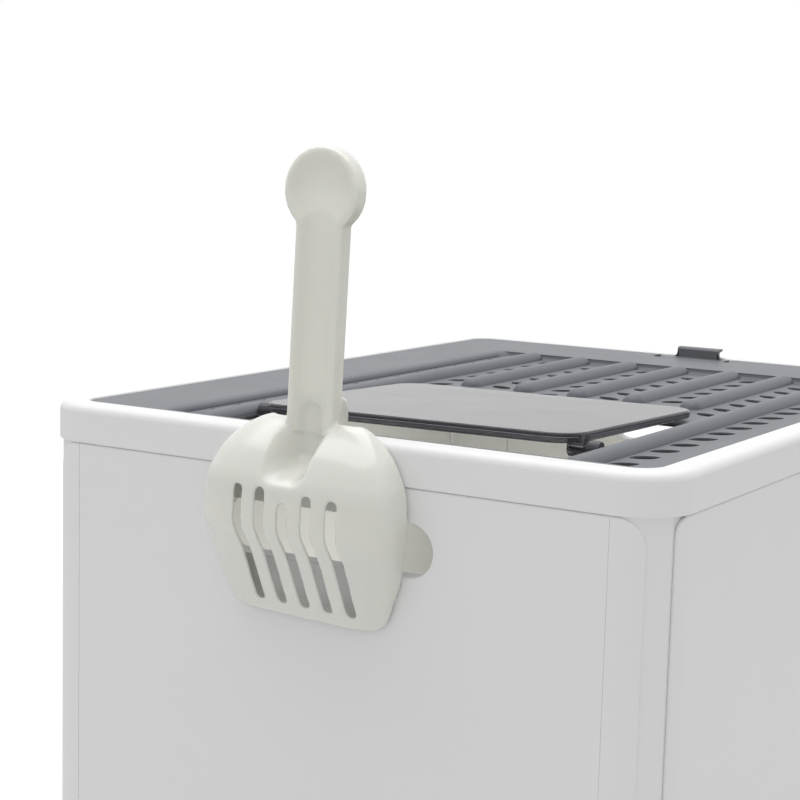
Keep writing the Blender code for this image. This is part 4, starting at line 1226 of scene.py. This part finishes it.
@dataclass
class Lid:
    """Grey lid: sunk floor, half-round ribs, lens slots, entrance, hinge ears and latch pocket.

    The slots lie in channels beside the ribs. Even channels turn one way and odd ones the
    other, and the two outermost have more_rows more slots towards the front.
    """

    finish: Material
    smoky: Material
    side_gap: float = 0.0007
    drop: float = 0.001
    floor_drop: float = 0.005
    thickness: float = 0.0065
    corner: float = 0.0133
    left_band: float = 0.052
    right_band: float = 0.008
    front_band: float = 0.006
    rear_band: float = 0.070
    band_round: float = 0.006
    eased: float = 0.0028
    floor_corner: float = 0.008
    centre_x: float = 0.020
    rib_width: float = 0.015
    rib_rise: float = 0.0055
    rib_sink: float = 0.0012
    rib_run_out: float = 0.004
    rib_pitch: float = 0.040
    rib_count: int = 7
    short_start: float = 0.2455
    slot_length: float = 0.0185
    slot_width: float = 0.0105
    slot_pitch: float = 0.0268
    slot_rows: int = 7
    more_rows: int = 8
    even_start: float = 0.2318
    even_turn: float = -28.0
    odd_start: float = 0.2455
    odd_turn: float = 46.0
    left_shift: float = 0.003
    right_shift: float = -0.0035
    entrance_front: float = 0.0103
    entrance_length: float = 0.176
    entrance_half: float = 0.112
    entrance_corner: float = 0.012
    hatch_half: float = 0.104
    axis_setback: float = 0.054
    axis_drop: float = 0.0035
    ear_width: float = 0.008
    ear_half: float = 0.004
    ear_radius: float = 0.0045
    ear_lift: float = 0.0006
    ear_sink: float = 0.001
    ear_foot_half: float = 0.006
    ear_foot_room: float = 0.002
    ear_foot_share: float = 0.8
    ear_bore: float = 0.00158
    ear_bore_reach: float = 0.0072
    notch_x: float = -0.0026
    notch_half: float = 0.0085
    notch_depth: float = 0.0045
    latch_x: float = 0.004
    latch_half: float = 0.0255
    latch_setback: float = 0.0121
    latch_drop: float = 0.002
    latch_bore: float = 0.00098
    latch_bore_reach: float = 0.0046
    pocket_room: float = 0.0057
    pocket_front: float = 0.005
    pocket_depth: float = 0.0045
    pocket_corner: float = 0.005

    @property
    def half(self) -> Plan:
        """Half sizes of the lid's plan."""
        less = PLAN.rim_width
        return PLAN.width / 2 - less - self.side_gap, PLAN.depth / 2 - less - self.side_gap

    @property
    def top(self) -> float:
        """Height of the bands."""
        return PLAN.height - self.drop

    @property
    def floor(self) -> float:
        """Height of the sunk floor."""
        return PLAN.height - self.floor_drop

    @property
    def bottom(self) -> float:
        """Height of the lid's underside."""
        return self.top - self.thickness

    @property
    def hatch_axis(self) -> Point:
        """Middle of the hatch's hinge."""
        return self.centre_x, -self.half[1] + self.axis_setback, PLAN.height - self.axis_drop

    @property
    def latch_axis(self) -> Point:
        """Middle of the latch's hinge."""
        return self.latch_x, self.half[1] - self.latch_setback, self.top - self.latch_drop

    def plate(self) -> Object:
        """Plate with its sunk floor, whose sides are eased.

        Returns:
            The plate, in the box's frame.
        """
        half_x, half_y = self.half
        outline = rounded_rectangle((-half_x, -half_y), (half_x, half_y), self.corner)
        plate = prism("lid_moulding", outline, Axis.Z, self.bottom, self.top)
        low = (-half_x + self.left_band, -half_y + self.front_band)
        high = (half_x - self.right_band, half_y - self.rear_band)
        depth = self.top - self.floor
        rows = [(0.0, self.top + PAST, 0.0)]
        for hollow, up in rounding(1.0, 9):
            z = self.top - depth * (1 - up)
            crown = self.band_round * math.sqrt(max(0.0, 1 - ((z - self.floor) / depth) ** 2))
            rows.append((self.eased * hollow, z, crown))
        rings = [[(x, y, z) for x, y in rounded_rectangle(
            (low[0] + crown, low[1] + inset), (high[0] - inset, high[1] - inset),
            self.floor_corner, 8)] for inset, z, crown in rows]
        combine(plate, [loft("sunk", rings)], "DIFFERENCE")
        return plate

    def ribs(self) -> list[Object]:
        """The long ribs beside the entrance and the short ones behind it, from Geometry Nodes.

        Returns:
            The two sets of ribs.
        """
        half_y = self.half[1]
        rear = half_y - self.rear_band + self.rib_run_out
        bar = RibBars(self.finish, self.rib_width, self.rib_rise + self.rib_sink)
        sets = ((2, self.rib_pitch * (self.rib_count - 1), -half_y + self.front_band / 2),
                (self.rib_count - 2, self.rib_pitch, -half_y + self.short_start))
        made = []
        for count, pitch, start in sets:
            foot = (self.centre_x - pitch * (count - 1) / 2, start, self.floor - self.rib_sink)
            made.append(bar.build(f"ribs_{count}", count, pitch, foot, rear - start))
        return made

    def slots(self) -> list[Object]:
        """Cutters for the lens slots of every channel, from Geometry Nodes.

        Returns:
            The cutters.
        """
        pitch = self.rib_pitch
        first = self.centre_x - pitch * self.rib_count / 2
        field = SlotField(self.finish, self.slot_length, self.slot_width, self.slot_pitch,
                          2 * pitch, self.bottom, self.top)
        even, odd = (self.even_start, self.even_turn), (self.odd_start, self.odd_turn)
        made = []
        for name, x, columns, more, (start, turn) in (
                ("slots_a", first + self.left_shift, 1, self.more_rows, even),
                ("slots_b", first + 2 * pitch, 3, 0, even),
                ("slots_c", first + pitch, 3, 0, odd),
                ("slots_d", first + self.rib_count * pitch + self.right_shift, 1,
                 self.more_rows, odd)):
            y = -self.half[1] + start - more * self.slot_pitch
            made.append(field.build(name, x, columns, y, self.slot_rows + more, turn))
        return made

    def ear(self, side: int) -> Object:
        """Upright ear beside the entrance that holds a hatch pin.

        Args:
            side: -1 on the left, 1 on the right.

        Returns:
            The ear, in the box's frame.
        """
        _, y, z = self.hatch_axis
        near = self.centre_x + side * (self.hatch_half + 2 * PLAN.gap)
        foot = self.centre_x + side * (self.entrance_half + self.ear_foot_room)
        base_top = self.bottom + (self.floor - self.bottom) * self.ear_foot_share
        ear = block("ear", (near, y - self.ear_foot_half, self.bottom + PLAN.gap),
                    (foot, y + self.ear_foot_half, base_top))
        outline = [(y - self.ear_half, base_top - self.ear_sink),
                   (y + self.ear_half, base_top - self.ear_sink)]
        outline += arc((y, z + self.ear_lift), self.ear_radius, 0, 180, 20)
        plate = prism("ear_plate", outline, Axis.X, near, near + side * self.ear_width)
        combine(ear, [plate], "UNION")
        reach = self.hatch_half + self.ear_bore_reach
        combine(ear, [rod("bore", (y, z), self.ear_bore, 24, self.centre_x - reach,
                          self.centre_x + reach)], "DIFFERENCE")
        soften(ear, 0.0005, 3)
        return ear

    def openings(self) -> list[Object]:
        """Cutters for the entrance, the hook's notch, the latch's pocket and its bore.

        Returns:
            The cutters.
        """
        half_y, above = self.half[1], self.top + PAST
        front = -half_y + self.entrance_front
        entrance = rounded_rectangle(
            (self.centre_x - self.entrance_half, front),
            (self.centre_x + self.entrance_half, front + self.entrance_length),
            self.entrance_corner)
        x, y, z = self.latch_axis
        half = self.latch_half + self.pocket_room
        pocket = rounded_rectangle((x - half, y - self.pocket_front), (x + half, half_y + PAST),
                                   self.pocket_corner, 8)
        reach = half + self.latch_bore_reach
        low, high = self.notch_x - self.notch_half, self.notch_x + self.notch_half
        return [
            prism("entrance", entrance, Axis.Z, self.bottom - PAST, above),
            block("hook_notch", (low, -half_y - PAST, self.bottom - PAST),
                  (high, -half_y + self.notch_depth, PLAN.height + PAST)),
            prism("pocket", pocket, Axis.Z, self.top - self.pocket_depth, above),
            rod("latch_bore", (y, z), self.latch_bore, 12, x - reach, x + reach),
        ]

    def build(self) -> None:
        """Make and dress the lid and its ears."""
        lid = self.plate()
        combine(lid, self.slots(), "DIFFERENCE")
        combine(lid, self.ribs(), "UNION")
        combine(lid, self.openings(), "DIFFERENCE")
        soften(lid, 0.00035, 2, 40)
        dress(PLAN.settle(lid), Part.LID, self.finish, "grey_plastic", "lid")
        for side, name in ((-1, "left"), (1, "right")):
            ear = self.ear(side)
            ear.name = f"hinge_ear_{name}"
            dress(PLAN.settle(ear), Part.LID, self.smoky, "smoke_plastic")


@dataclass
class Hatch:
    """Smoky see-through flap over the entrance, with its two pins in the lid's ears."""

    sheet: Material
    steel: Material
    lid: Lid
    half: float = 0.104
    length: float = 0.173
    front: float = 0.018
    corner: float = 0.018
    skin: float = 0.0025
    skirt: float = 0.0056
    top: float = 0.0072
    edge: float = 0.0016
    low_edge: float = 0.0006
    inner_edge: float = 0.001
    tilt: float = 1.5
    taper: float = 0.0010
    lean: float = 0.0023
    lug_width: float = 0.010
    lug_radius: float = 0.0048
    lug_inset: float = 0.0002
    lug_lean: float = 0.9
    pin_radius: float = 0.0015
    pin_length: float = 0.0163
    pin_play: float = 0.00008

    def tray(self, inset: float, height: float, taper: float = 0.0) -> list[Point]:
        """Outline of the flap drawn in by an inset, about the hinge's axis.

        Args:
            inset: How far it is drawn in.
            height: Its height at the front.
            taper: How much higher it is at the rear.

        Returns:
            The outline.
        """
        outline = rounded_rectangle(
            (-self.half + inset, -self.front + inset),
            (self.half - inset, self.length - self.front - inset), self.corner - inset, 24)
        return [(x, y, height + taper * (y + self.front) / self.length
                 + self.lean * (x / self.half + 1) / 2) for x, y in outline]

    def lug(self, side: int) -> Object:
        """Lug under the flap that a pin runs in.

        Args:
            side: -1 on the left, 1 on the right.

        Returns:
            The lug, about the hinge's axis.
        """
        crest = self.top - self.skin / 2 + (self.lug_lean * self.lean if side > 0 else 0.0)
        outline = arc((0.0, 0.0), self.lug_radius, 180, 360, 24)
        outline += [(self.lug_radius, crest), (-self.lug_radius, crest)]
        return prism("lug", outline, Axis.X, side * (self.half - self.lug_width),
                     side * (self.half - self.lug_inset))

    def build(self) -> None:
        """Make and dress the flap and its pins."""
        foot, ceiling = self.top - self.skirt, self.top - self.skin
        rows = [(self.low_edge, foot, self.taper), (0.0, foot + self.low_edge, self.taper)]
        rows += [(inset, self.top - drop, 0.0) for inset, drop in rounding(self.edge)]
        flap = loft("hatch_sheet", [self.tray(*row) for row in rows])
        inner = [(self.skin, foot - PAST)]
        inner += [(self.skin + inset, ceiling - drop)
                  for inset, drop in rounding(self.inner_edge, 4)]
        combine(flap, [loft("hollow", [self.tray(*row) for row in inner])], "DIFFERENCE")
        combine(flap, [self.lug(-1), self.lug(1)], "UNION")
        reach = self.half + PAST
        bore = rod("bore", (0.0, 0.0), self.pin_radius + self.pin_play, 24, -reach, reach)
        combine(flap, [bore], "DIFFERENCE")
        soften(flap, 0.0, angle=30)
        axis = Vector(self.lid.hatch_axis)
        turn = Matrix.Rotation(math.radians(-self.tilt), 4, "X")
        flap.data.transform(Matrix.Translation(axis) @ turn)
        dress(PLAN.settle(flap), Part.HATCH, self.sheet, "smoke_plastic", "hatch")
        for side, name in ((-1, "left"), (1, "right")):
            middle = axis.x + side * (self.half - self.lug_width + self.pin_length / 2 + PLAN.gap)
            pin = rod(f"hatch_axle_{name}", (axis.y, axis.z), self.pin_radius, 48,
                      middle - self.pin_length / 2, middle + self.pin_length / 2)
            soften(pin, 0.0003, 3)
            dress(PLAN.settle(pin), Part.LID, self.steel, "steel", f"hatch_pin_{name}")


@dataclass
class Latch:
    """Dark latch at the rear of the lid: barrel, plate, flared finger tab, and its pin."""

    dark: Material
    steel: Material
    lid: Lid
    tab_half: float = 0.0168
    tab_offset: float = 0.0015
    tab_fillet: float = 0.004
    plate: float = 0.0023
    plate_corner: float = 0.0015
    deck: float = 0.002
    reach: float = 0.0121
    barrel: float = 0.002
    tab: float = 0.0022
    rise: float = 0.0084
    inner_bend: float = 0.0014
    outer_bend: float = 0.0020
    lip: float = 0.006
    lip_ease: float = 0.0004
    chamfer: Plan = (0.0008, 0.0006)
    chamfer_top: float = 0.0013
    nose: float = 0.0006
    overlap: float = 0.001
    pin_radius: float = 0.0009
    pin_reach: float = 0.004
    pin_play: float = 0.00008

    def finger_tab(self, left: float, right: float) -> list[Object]:
        """Upright tab with its lip, and the flares at its foot.

        Args:
            left: Its left end.
            right: Its right end.

        Returns:
            The tab and both flares.
        """
        thick, deck, bend, past = self.tab, self.deck, self.tab_fillet, self.overlap
        front = self.reach - 2 * thick
        back = front + thick
        crest = self.plate / 2 + self.rise
        under, end = crest - thick, back + self.lip
        outline = [(front, 0.0), (back, 0.0)]
        outline += [(back + out, under - drop) for out, drop in rounding(self.inner_bend, 4)]
        outline += [(end - self.chamfer[0], under + self.chamfer[1]),
                    (end, under + self.chamfer_top),
                    (end, crest - self.lip_ease), (end - self.lip_ease, crest)]
        outline += [(front + inset, crest - drop) for drop, inset in rounding(self.outer_bend)]
        made = [prism("tab", outline, Axis.X, left, right)]
        for side, x in ((-1, left), (1, right)):
            flare = arc((x + side * bend, deck + bend), bend, 270, 270 - side * 90, 12)
            inner = x - side * past
            flare += [(inner, deck + bend), (inner, 0.0), (x + side * bend, 0.0)]
            made.append(prism("flare", flare, Axis.Y, front, back))
        return made

    def build(self) -> None:
        """Make and dress the latch and its pin."""
        top, half, far = self.plate / 2, self.lid.latch_half, 10 * PAST
        latch = rod("latch_moulding", (0.0, 0.0), self.barrel, 48, -half, half)
        outline = rounded_rectangle((-half, -self.reach), (half, self.reach), self.plate_corner, 4)
        plate = prism("plate", outline, Axis.Z, -top, self.deck)
        combine(plate, [block("front_half", (-far, -far, -PAST), (far, 0.0, PAST))], "DIFFERENCE")
        left, right = self.tab_offset - self.tab_half, self.tab_offset + self.tab_half
        tab, *flares = self.finger_tab(left, right)
        nose = block("nose", (left, self.reach - self.nose, -top / 2),
                     (right, self.reach + self.nose / 2, top / 2))
        combine(latch, [plate, tab, nose, *flares], "UNION")
        bore = rod("bore", (0.0, 0.0), self.pin_radius + self.pin_play, 24, -far / 2, far / 2)
        combine(latch, [bore], "DIFFERENCE")
        soften(latch, 0.0003, 3)
        axis = Vector(self.lid.latch_axis)
        latch.data.transform(Matrix.Translation(axis))
        dress(PLAN.settle(latch), Part.LATCH, self.dark, "dark_plastic", "lid_latch")
        reach = half + self.lid.pocket_room + self.pin_reach
        pin = rod("latch_axle", (axis.y, axis.z), self.pin_radius, 48, axis.x - reach,
                  axis.x + reach)
        soften(pin, 0.0002)
        dress(PLAN.settle(pin), Part.LID, self.steel, "steel", "latch_pin")


@dataclass
class Scoop:
    """Cream scoop: dished slotted blade, channel handle with a round end, and a hook over the rim.

    Each row of sections is a share of the blade's height from the lip, with the half width
    and the bulge there as shares of the largest. The groove takes the handle's channel
    down into the blade.
    """

    finish: Material
    wall_gap: float = 0.0006
    skin: float = 0.0022
    tilt: float = 2.2
    blade_height: float = 0.1115
    blade_top: float = 0.009
    centre_x: float = -0.0026
    half_width: float = 0.0605
    bulge: float = 0.036
    fullness: float = 0.40
    crowding: float = 0.85
    rows: int = 90
    steps_across: int = 110
    handle_half: float = 0.0145
    handle_depth: float = 0.0107
    handle_foot: float = -0.002
    thumb_half: float = 0.0093
    thumb_depth: float = 0.005
    thumb_top: float = 0.0225
    channel_half: float = 0.0115
    channel_depth: float = 0.0026
    disc_radius: float = 0.0232
    disc_rise: float = 0.1328
    dish_half: float = 0.0195
    dish_depth: float = 0.0034
    hollow_front: float = 0.0060
    hollow_foot: float = 0.0245
    slot_pitch: float = 0.015
    slot_shift: float = 0.0026
    slot_width: float = 0.006
    slot_foot: float = 0.065
    slot_tops: tuple[float, ...] = (0.683, 0.688, 0.625, 0.681, 0.677)
    groove_foot: float = 0.70
    groove_ramp: float = 0.13
    groove_low: float = 0.0045
    groove_high: float = 0.0068
    groove_wall: float = 0.0100
    hook_half: float = 0.006
    hook_front: float = 0.0065
    hook_height: float = 0.0205
    hook_leg: float = 0.0022
    hook_drop: float = 0.014
    hook_corner: float = 0.009
    voxel: float = 0.0009
    smoothing: float = 0.5
    smooth_passes: int = 7
    sections: tuple[Point, ...] = (
        (0.000, 0.660, 0.140), (0.025, 0.785, 0.160), (0.075, 0.860, 0.235),
        (0.170, 0.915, 0.400), (0.270, 0.965, 0.560), (0.360, 0.990, 0.720),
        (0.440, 1.000, 0.905), (0.490, 1.000, 0.985), (0.550, 1.000, 1.000),
        (0.630, 0.990, 1.000), (0.700, 0.970, 0.985), (0.750, 0.940, 0.950),
        (0.850, 0.840, 0.780), (0.930, 0.700, 0.530), (0.980, 0.565, 0.285),
        (1.000, 0.455, 0.110),
    )

    def height(self, share: float) -> float:
        """Height of a share of the blade."""
        return self.blade_top - self.blade_height * (1 - share)

    def section(self, share: float) -> list[float]:
        """Half width and bulge at a share of the blade's height, along a smooth curve.

        Args:
            share: Share of the height, from the lip.

        Returns:
            Both as shares of the largest.
        """
        table, last = self.sections, len(self.sections) - 1
        i = max(k for k in range(last) if table[k][0] <= share)
        before, low, high, after = (table[min(max(k, 0), last)] for k in range(i - 1, i + 3))
        span = high[0] - low[0]
        t = (share - low[0]) / span
        values = []
        for k in (1, 2):
            slope_low = (high[k] - before[k]) / (high[0] - before[0]) * span
            slope_high = (after[k] - low[k]) / (after[0] - low[0]) * span
            values.append((2 * t ** 3 - 3 * t ** 2 + 1) * low[k]
                          + (t ** 3 - 2 * t ** 2 + t) * slope_low
                          + (3 * t ** 2 - 2 * t ** 3) * high[k] + (t ** 3 - t ** 2) * slope_high)
        return values

    def row(self, share: float) -> list[Point]:
        """Points across the blade's outer face at a share of its height.

        Args:
            share: Share of the height, from the lip.

        Returns:
            The points from the left edge to the right.
        """
        width, bulge = self.section(share)
        half, bulge = self.half_width * width, self.bulge * bulge
        rise = smoothstep((share - self.groove_foot) / self.groove_ramp)
        spread = smoothstep((share - self.groove_foot) / (1 - self.groove_foot))
        groove_half = self.groove_low + (self.groove_high - self.groove_low) * spread
        floor = self.handle_depth - self.thumb_depth
        points = []
        for i in range(self.steps_across + 1):
            angle = math.pi * (i / self.steps_across - 0.5)
            x = half * math.copysign(abs(math.sin(angle)) ** self.crowding, angle)
            depth = bulge * max(0.0, math.cos(angle)) ** self.fullness
            inside = rise * (1 - smoothstep((abs(x) - groove_half) / self.groove_wall))
            y = -(depth + (min(depth, floor) - depth) * inside)
            points.append((x, y, self.height(share)))
        return points

    def blade(self) -> Object:
        """Dished blade with its slots.

        Returns:
            The blade, about the top of the wall behind it.
        """
        shape = bmesh.new()
        grid = [[shape.verts.new(point) for point in self.row(i / self.rows)]
                for i in range(self.rows + 1)]
        for low, high in zip(grid, grid[1:]):
            for i in range(self.steps_across):
                shape.faces.new((low[i], low[i + 1], high[i + 1], high[i]))
        blade = object_from("scoop_moulding", shape)
        modify(blade, "SOLIDIFY", thickness=self.skin, offset=-1.0)
        modify(blade, "TRIANGULATE")
        slots, half = [], self.slot_width / 2
        for i, top_share in enumerate(self.slot_tops):
            x = self.slot_shift + (i - (len(self.slot_tops) - 1) / 2) * self.slot_pitch
            top, foot = self.height(top_share), self.height(self.slot_foot)
            outline = (arc((x, top - half), half, 0, 180, 16)
                       + arc((x, foot + half), half, 180, 360, 16))
            slots.append(prism("blade_slot", outline, Axis.Y, -self.bulge - PAST, -self.skin / 2))
        combine(blade, slots, "DIFFERENCE")
        return blade

    def keyhole(self, inset: float, foot: float) -> list[Plan]:
        """Outline of the handle: straight sides under a round end.

        Args:
            inset: How far it is drawn in.
            foot: Height of its lower end.

        Returns:
            The outline.
        """
        half, radius = self.handle_half - inset, self.disc_radius - inset
        start = math.degrees(math.asin(-math.sqrt(radius * radius - half * half) / radius))
        disc = arc((0.0, self.disc_rise), radius, start, 180 - start, 64)
        return [(-half, foot), (half, foot)] + disc

    def channel(self, half: float, depth: float, top: float) -> Object:
        """Cutter for a hollow of round section down the handle's front.

        Args:
            half: Half its width.
            depth: Its depth.
            top: Where it ends.

        Returns:
            The cutter.
        """
        radius = (half * half + depth * depth) / (2 * depth)
        centre = (0.0, -self.handle_depth + depth - radius)
        return prism("channel", circle(centre, radius, 144), Axis.Z, -5 * PAST, top)

    def dish(self, half: float, depth: float, height: float) -> Object:
        """Cutter for a round dish in the handle's front.

        Args:
            half: Half its width.
            depth: Its depth.
            height: Height of its middle.

        Returns:
            The cutter.
        """
        radius = (half * half + depth * depth) / (2 * depth)
        shape = bmesh.new()
        place = Matrix.Translation((0.0, -self.handle_depth + depth - radius, height))
        bmesh.ops.create_uvsphere(shape, u_segments=72, v_segments=144, radius=radius,
                                  matrix=place @ Matrix.Rotation(math.radians(90), 4, "X"))
        return object_from("dish", shape)

    def handle(self) -> Object:
        """Handle with its hollows, its round end and the hook.

        Returns:
            The handle, about the top of the wall behind it.
        """
        handle = prism("handle", self.keyhole(0.0, -self.handle_foot), Axis.Y,
                       -self.handle_depth, 0.0)
        thumb = self.thumb_top - self.thumb_half
        combine(handle, [
            prism("hollow", self.keyhole(self.skin, self.hollow_foot), Axis.Y,
                  -self.hollow_front, PAST),
            self.channel(self.channel_half, self.channel_depth, self.disc_rise),
            self.dish(self.dish_half, self.dish_depth, self.disc_rise),
            self.channel(self.thumb_half, self.thumb_depth, thumb),
            self.dish(self.thumb_half, self.thumb_depth, thumb),
        ], "DIFFERENCE")
        rim_back = self.wall_gap + PLAN.rim_width + 2 * PLAN.gap
        back, top, corner = rim_back + self.hook_leg, self.hook_height, self.hook_corner
        front, foot = -self.hook_front, -self.handle_foot
        outline = [(front, foot), (-self.wall_gap, foot), (-self.wall_gap, PLAN.gap),
                   (rim_back, PLAN.gap), (rim_back, -self.hook_drop), (back, -self.hook_drop)]
        outline += arc((back - corner, top - corner), corner, 0, 90, 20) + [(front, top)]
        combine(handle, [prism("hook", outline, Axis.X, -self.hook_half, self.hook_half)], "UNION")
        return handle

    def build(self) -> None:
        """Make and dress the scoop, whose blade and handle are blended into one moulding."""
        scoop = self.blade()
        combine(scoop, [self.handle()], "UNION")
        modify(scoop, "REMESH", mode="VOXEL", voxel_size=self.voxel)
        modify(scoop, "SMOOTH", factor=self.smoothing, iterations=self.smooth_passes)
        soften(scoop, 0.0, angle=60)
        lean = Matrix.Rotation(math.radians(self.tilt), 4, "Y")
        place = (self.centre_x, -PLAN.depth / 2 - self.wall_gap, PLAN.height)
        scoop.data.transform(Matrix.Translation(place) @ lean)
        dress(PLAN.settle(scoop), Part.SCOOP, self.finish, "cream_plastic", "scoop")


# Studio


@dataclass
class Studio:
    """Pale floor, white surroundings, soft lights and the camera of the photograph."""

    ambient: float = 0.612
    mirrored: float = 0.95
    floor_colour: Point = (0.75, 0.75, 0.75)
    floor_glow: float = 1.25
    floor_share: float = 0.7
    floor_half: float = 14.0
    floor_corner: float = 4.0
    floor_thickness: float = 0.02
    overhead_place: Point = (-0.3, 0.1, 2.6)
    overhead_size: float = 3.0
    overhead_watts: float = 45.0
    inner_place: Point = (-0.03, 0.05, 0.22)
    inner_colour: Point = (1.0, 0.98, 0.88)
    inner_radius: float = 0.06
    inner_watts: float = 0.75
    target: Point = (0.0, 0.0, 0.3)
    camera_place: Point = (0.5730, -1.1056, 0.5443)
    yaw: float = -31.343
    pitch: float = 7.927
    roll: float = -1.517
    focal_length: float = 86.59
    sensor: float = 36.0

    def surroundings(self) -> None:
        """White to the camera and in reflections, dimmer as a light."""
        world = bpy.data.worlds.new("studio")
        world.use_nodes = True
        bpy.context.scene.world = world
        graph = Graph(world.node_tree)
        seen = graph.node("ShaderNodeLightPath", output="Is Camera Ray")
        mirrored = graph.node("ShaderNodeLightPath", output="Is Glossy Ray")
        strength = seen * (1.0 - self.ambient) + mirrored * (self.mirrored - self.ambient)
        glow = graph.node("ShaderNodeBackground",
                          {"Color": (1.0, 1.0, 1.0), "Strength": strength + self.ambient})
        graph.node("ShaderNodeOutputWorld", {"Surface": glow})

    def floor(self) -> None:
        """Matt pale floor that keeps only a faint shadow."""
        made, graph = new_material("studio_floor")
        matt = graph.node("ShaderNodeBsdfDiffuse", {"Color": self.floor_colour})
        glow = graph.node("ShaderNodeEmission",
                          {"Color": (1.0, 1.0, 1.0), "Strength": self.floor_glow})
        seen = graph.node("ShaderNodeLightPath", output="Is Camera Ray")
        graph.surface(graph.node("ShaderNodeMixShader",
                                 {0: seen * self.floor_share, 1: matt, 2: glow}))
        half = self.floor_half
        outline = rounded_rectangle((-half, -half), (half, half), self.floor_corner)
        floor = prism("studio_floor", outline, Axis.Z, -self.floor_thickness, 0.0)
        floor.data.materials.append(made)

    def light_from_above(self) -> None:
        """A large square soft light that looks at the box."""
        data = bpy.data.lights.new("soft_box_above", "AREA")
        data.size, data.energy = self.overhead_size, self.overhead_watts
        lamp = put("soft_box_above", data)
        lamp.location = self.overhead_place
        towards = Vector(self.target) - Vector(self.overhead_place)
        lamp.rotation_euler = towards.to_track_quat("-Z", "Y").to_euler()

    def light_through_walls(self) -> None:
        """Warm fill inside the box, for the daylight that thin white walls let through."""
        data = bpy.data.lights.new("light_through_walls", "POINT")
        data.shadow_soft_size, data.energy = self.inner_radius, self.inner_watts
        data.color = self.inner_colour
        lamp = put("light_through_walls", data)
        lamp.location = self.inner_place
        lamp.visible_camera = False
        lamp.visible_glossy = False
        lamp.visible_transmission = False

    def camera(self) -> None:
        """Camera solved from the rim, the posts and the seams of the photograph."""
        yaw, pitch, roll = (math.radians(a) for a in (self.yaw, self.pitch, self.roll))
        forward = Vector((math.sin(yaw) * math.cos(pitch), math.cos(yaw) * math.cos(pitch),
                          -math.sin(pitch)))
        level = Vector((math.cos(yaw), -math.sin(yaw), 0.0))
        down = forward.cross(level)
        right = math.cos(roll) * level + math.sin(roll) * down
        below = math.cos(roll) * down - math.sin(roll) * level
        data = bpy.data.cameras.new("photo_camera")
        data.lens, data.sensor_width = self.focal_length, self.sensor
        data.clip_start, data.clip_end = 0.01, 60.0
        camera = put("photo_camera", data)
        basis = Matrix((right, -below, -forward)).transposed().to_4x4()
        camera.matrix_world = Matrix.Translation(self.camera_place) @ basis
        bpy.context.scene.camera = camera

    def build(self) -> None:
        """Set up the whole studio."""
        bpy.context.scene.view_settings.view_transform = "Standard"
        self.surroundings()
        self.floor()
        self.light_from_above()
        self.light_through_walls()
        self.camera()


def main() -> None:
    """Build and dress every sub-assembly, then the studio."""
    logging.basicConfig(level=logging.INFO, format="%(message)s")
    white, grey, dark, cream = (finish.build() for finish in (WHITE, GREY, DARK, CREAM))
    steel, rubber, sheet = DrawnSteel().build(), PadRubber().build(), SMOKE.build()
    smoke = SMOKE_BOSS.build()
    TopFrame(white).build()
    Walls(white).build()
    LowerBox(white, grey, rubber).build()
    lid = Lid(LID_GREY_PAINTED_SHADE.build(), smoke)
    lid.build()
    Hatch(sheet, steel, lid).build()
    Latch(dark, steel, lid).build()
    Scoop(cream).build()
    Studio().build()


if __name__ == "__main__":
    main()
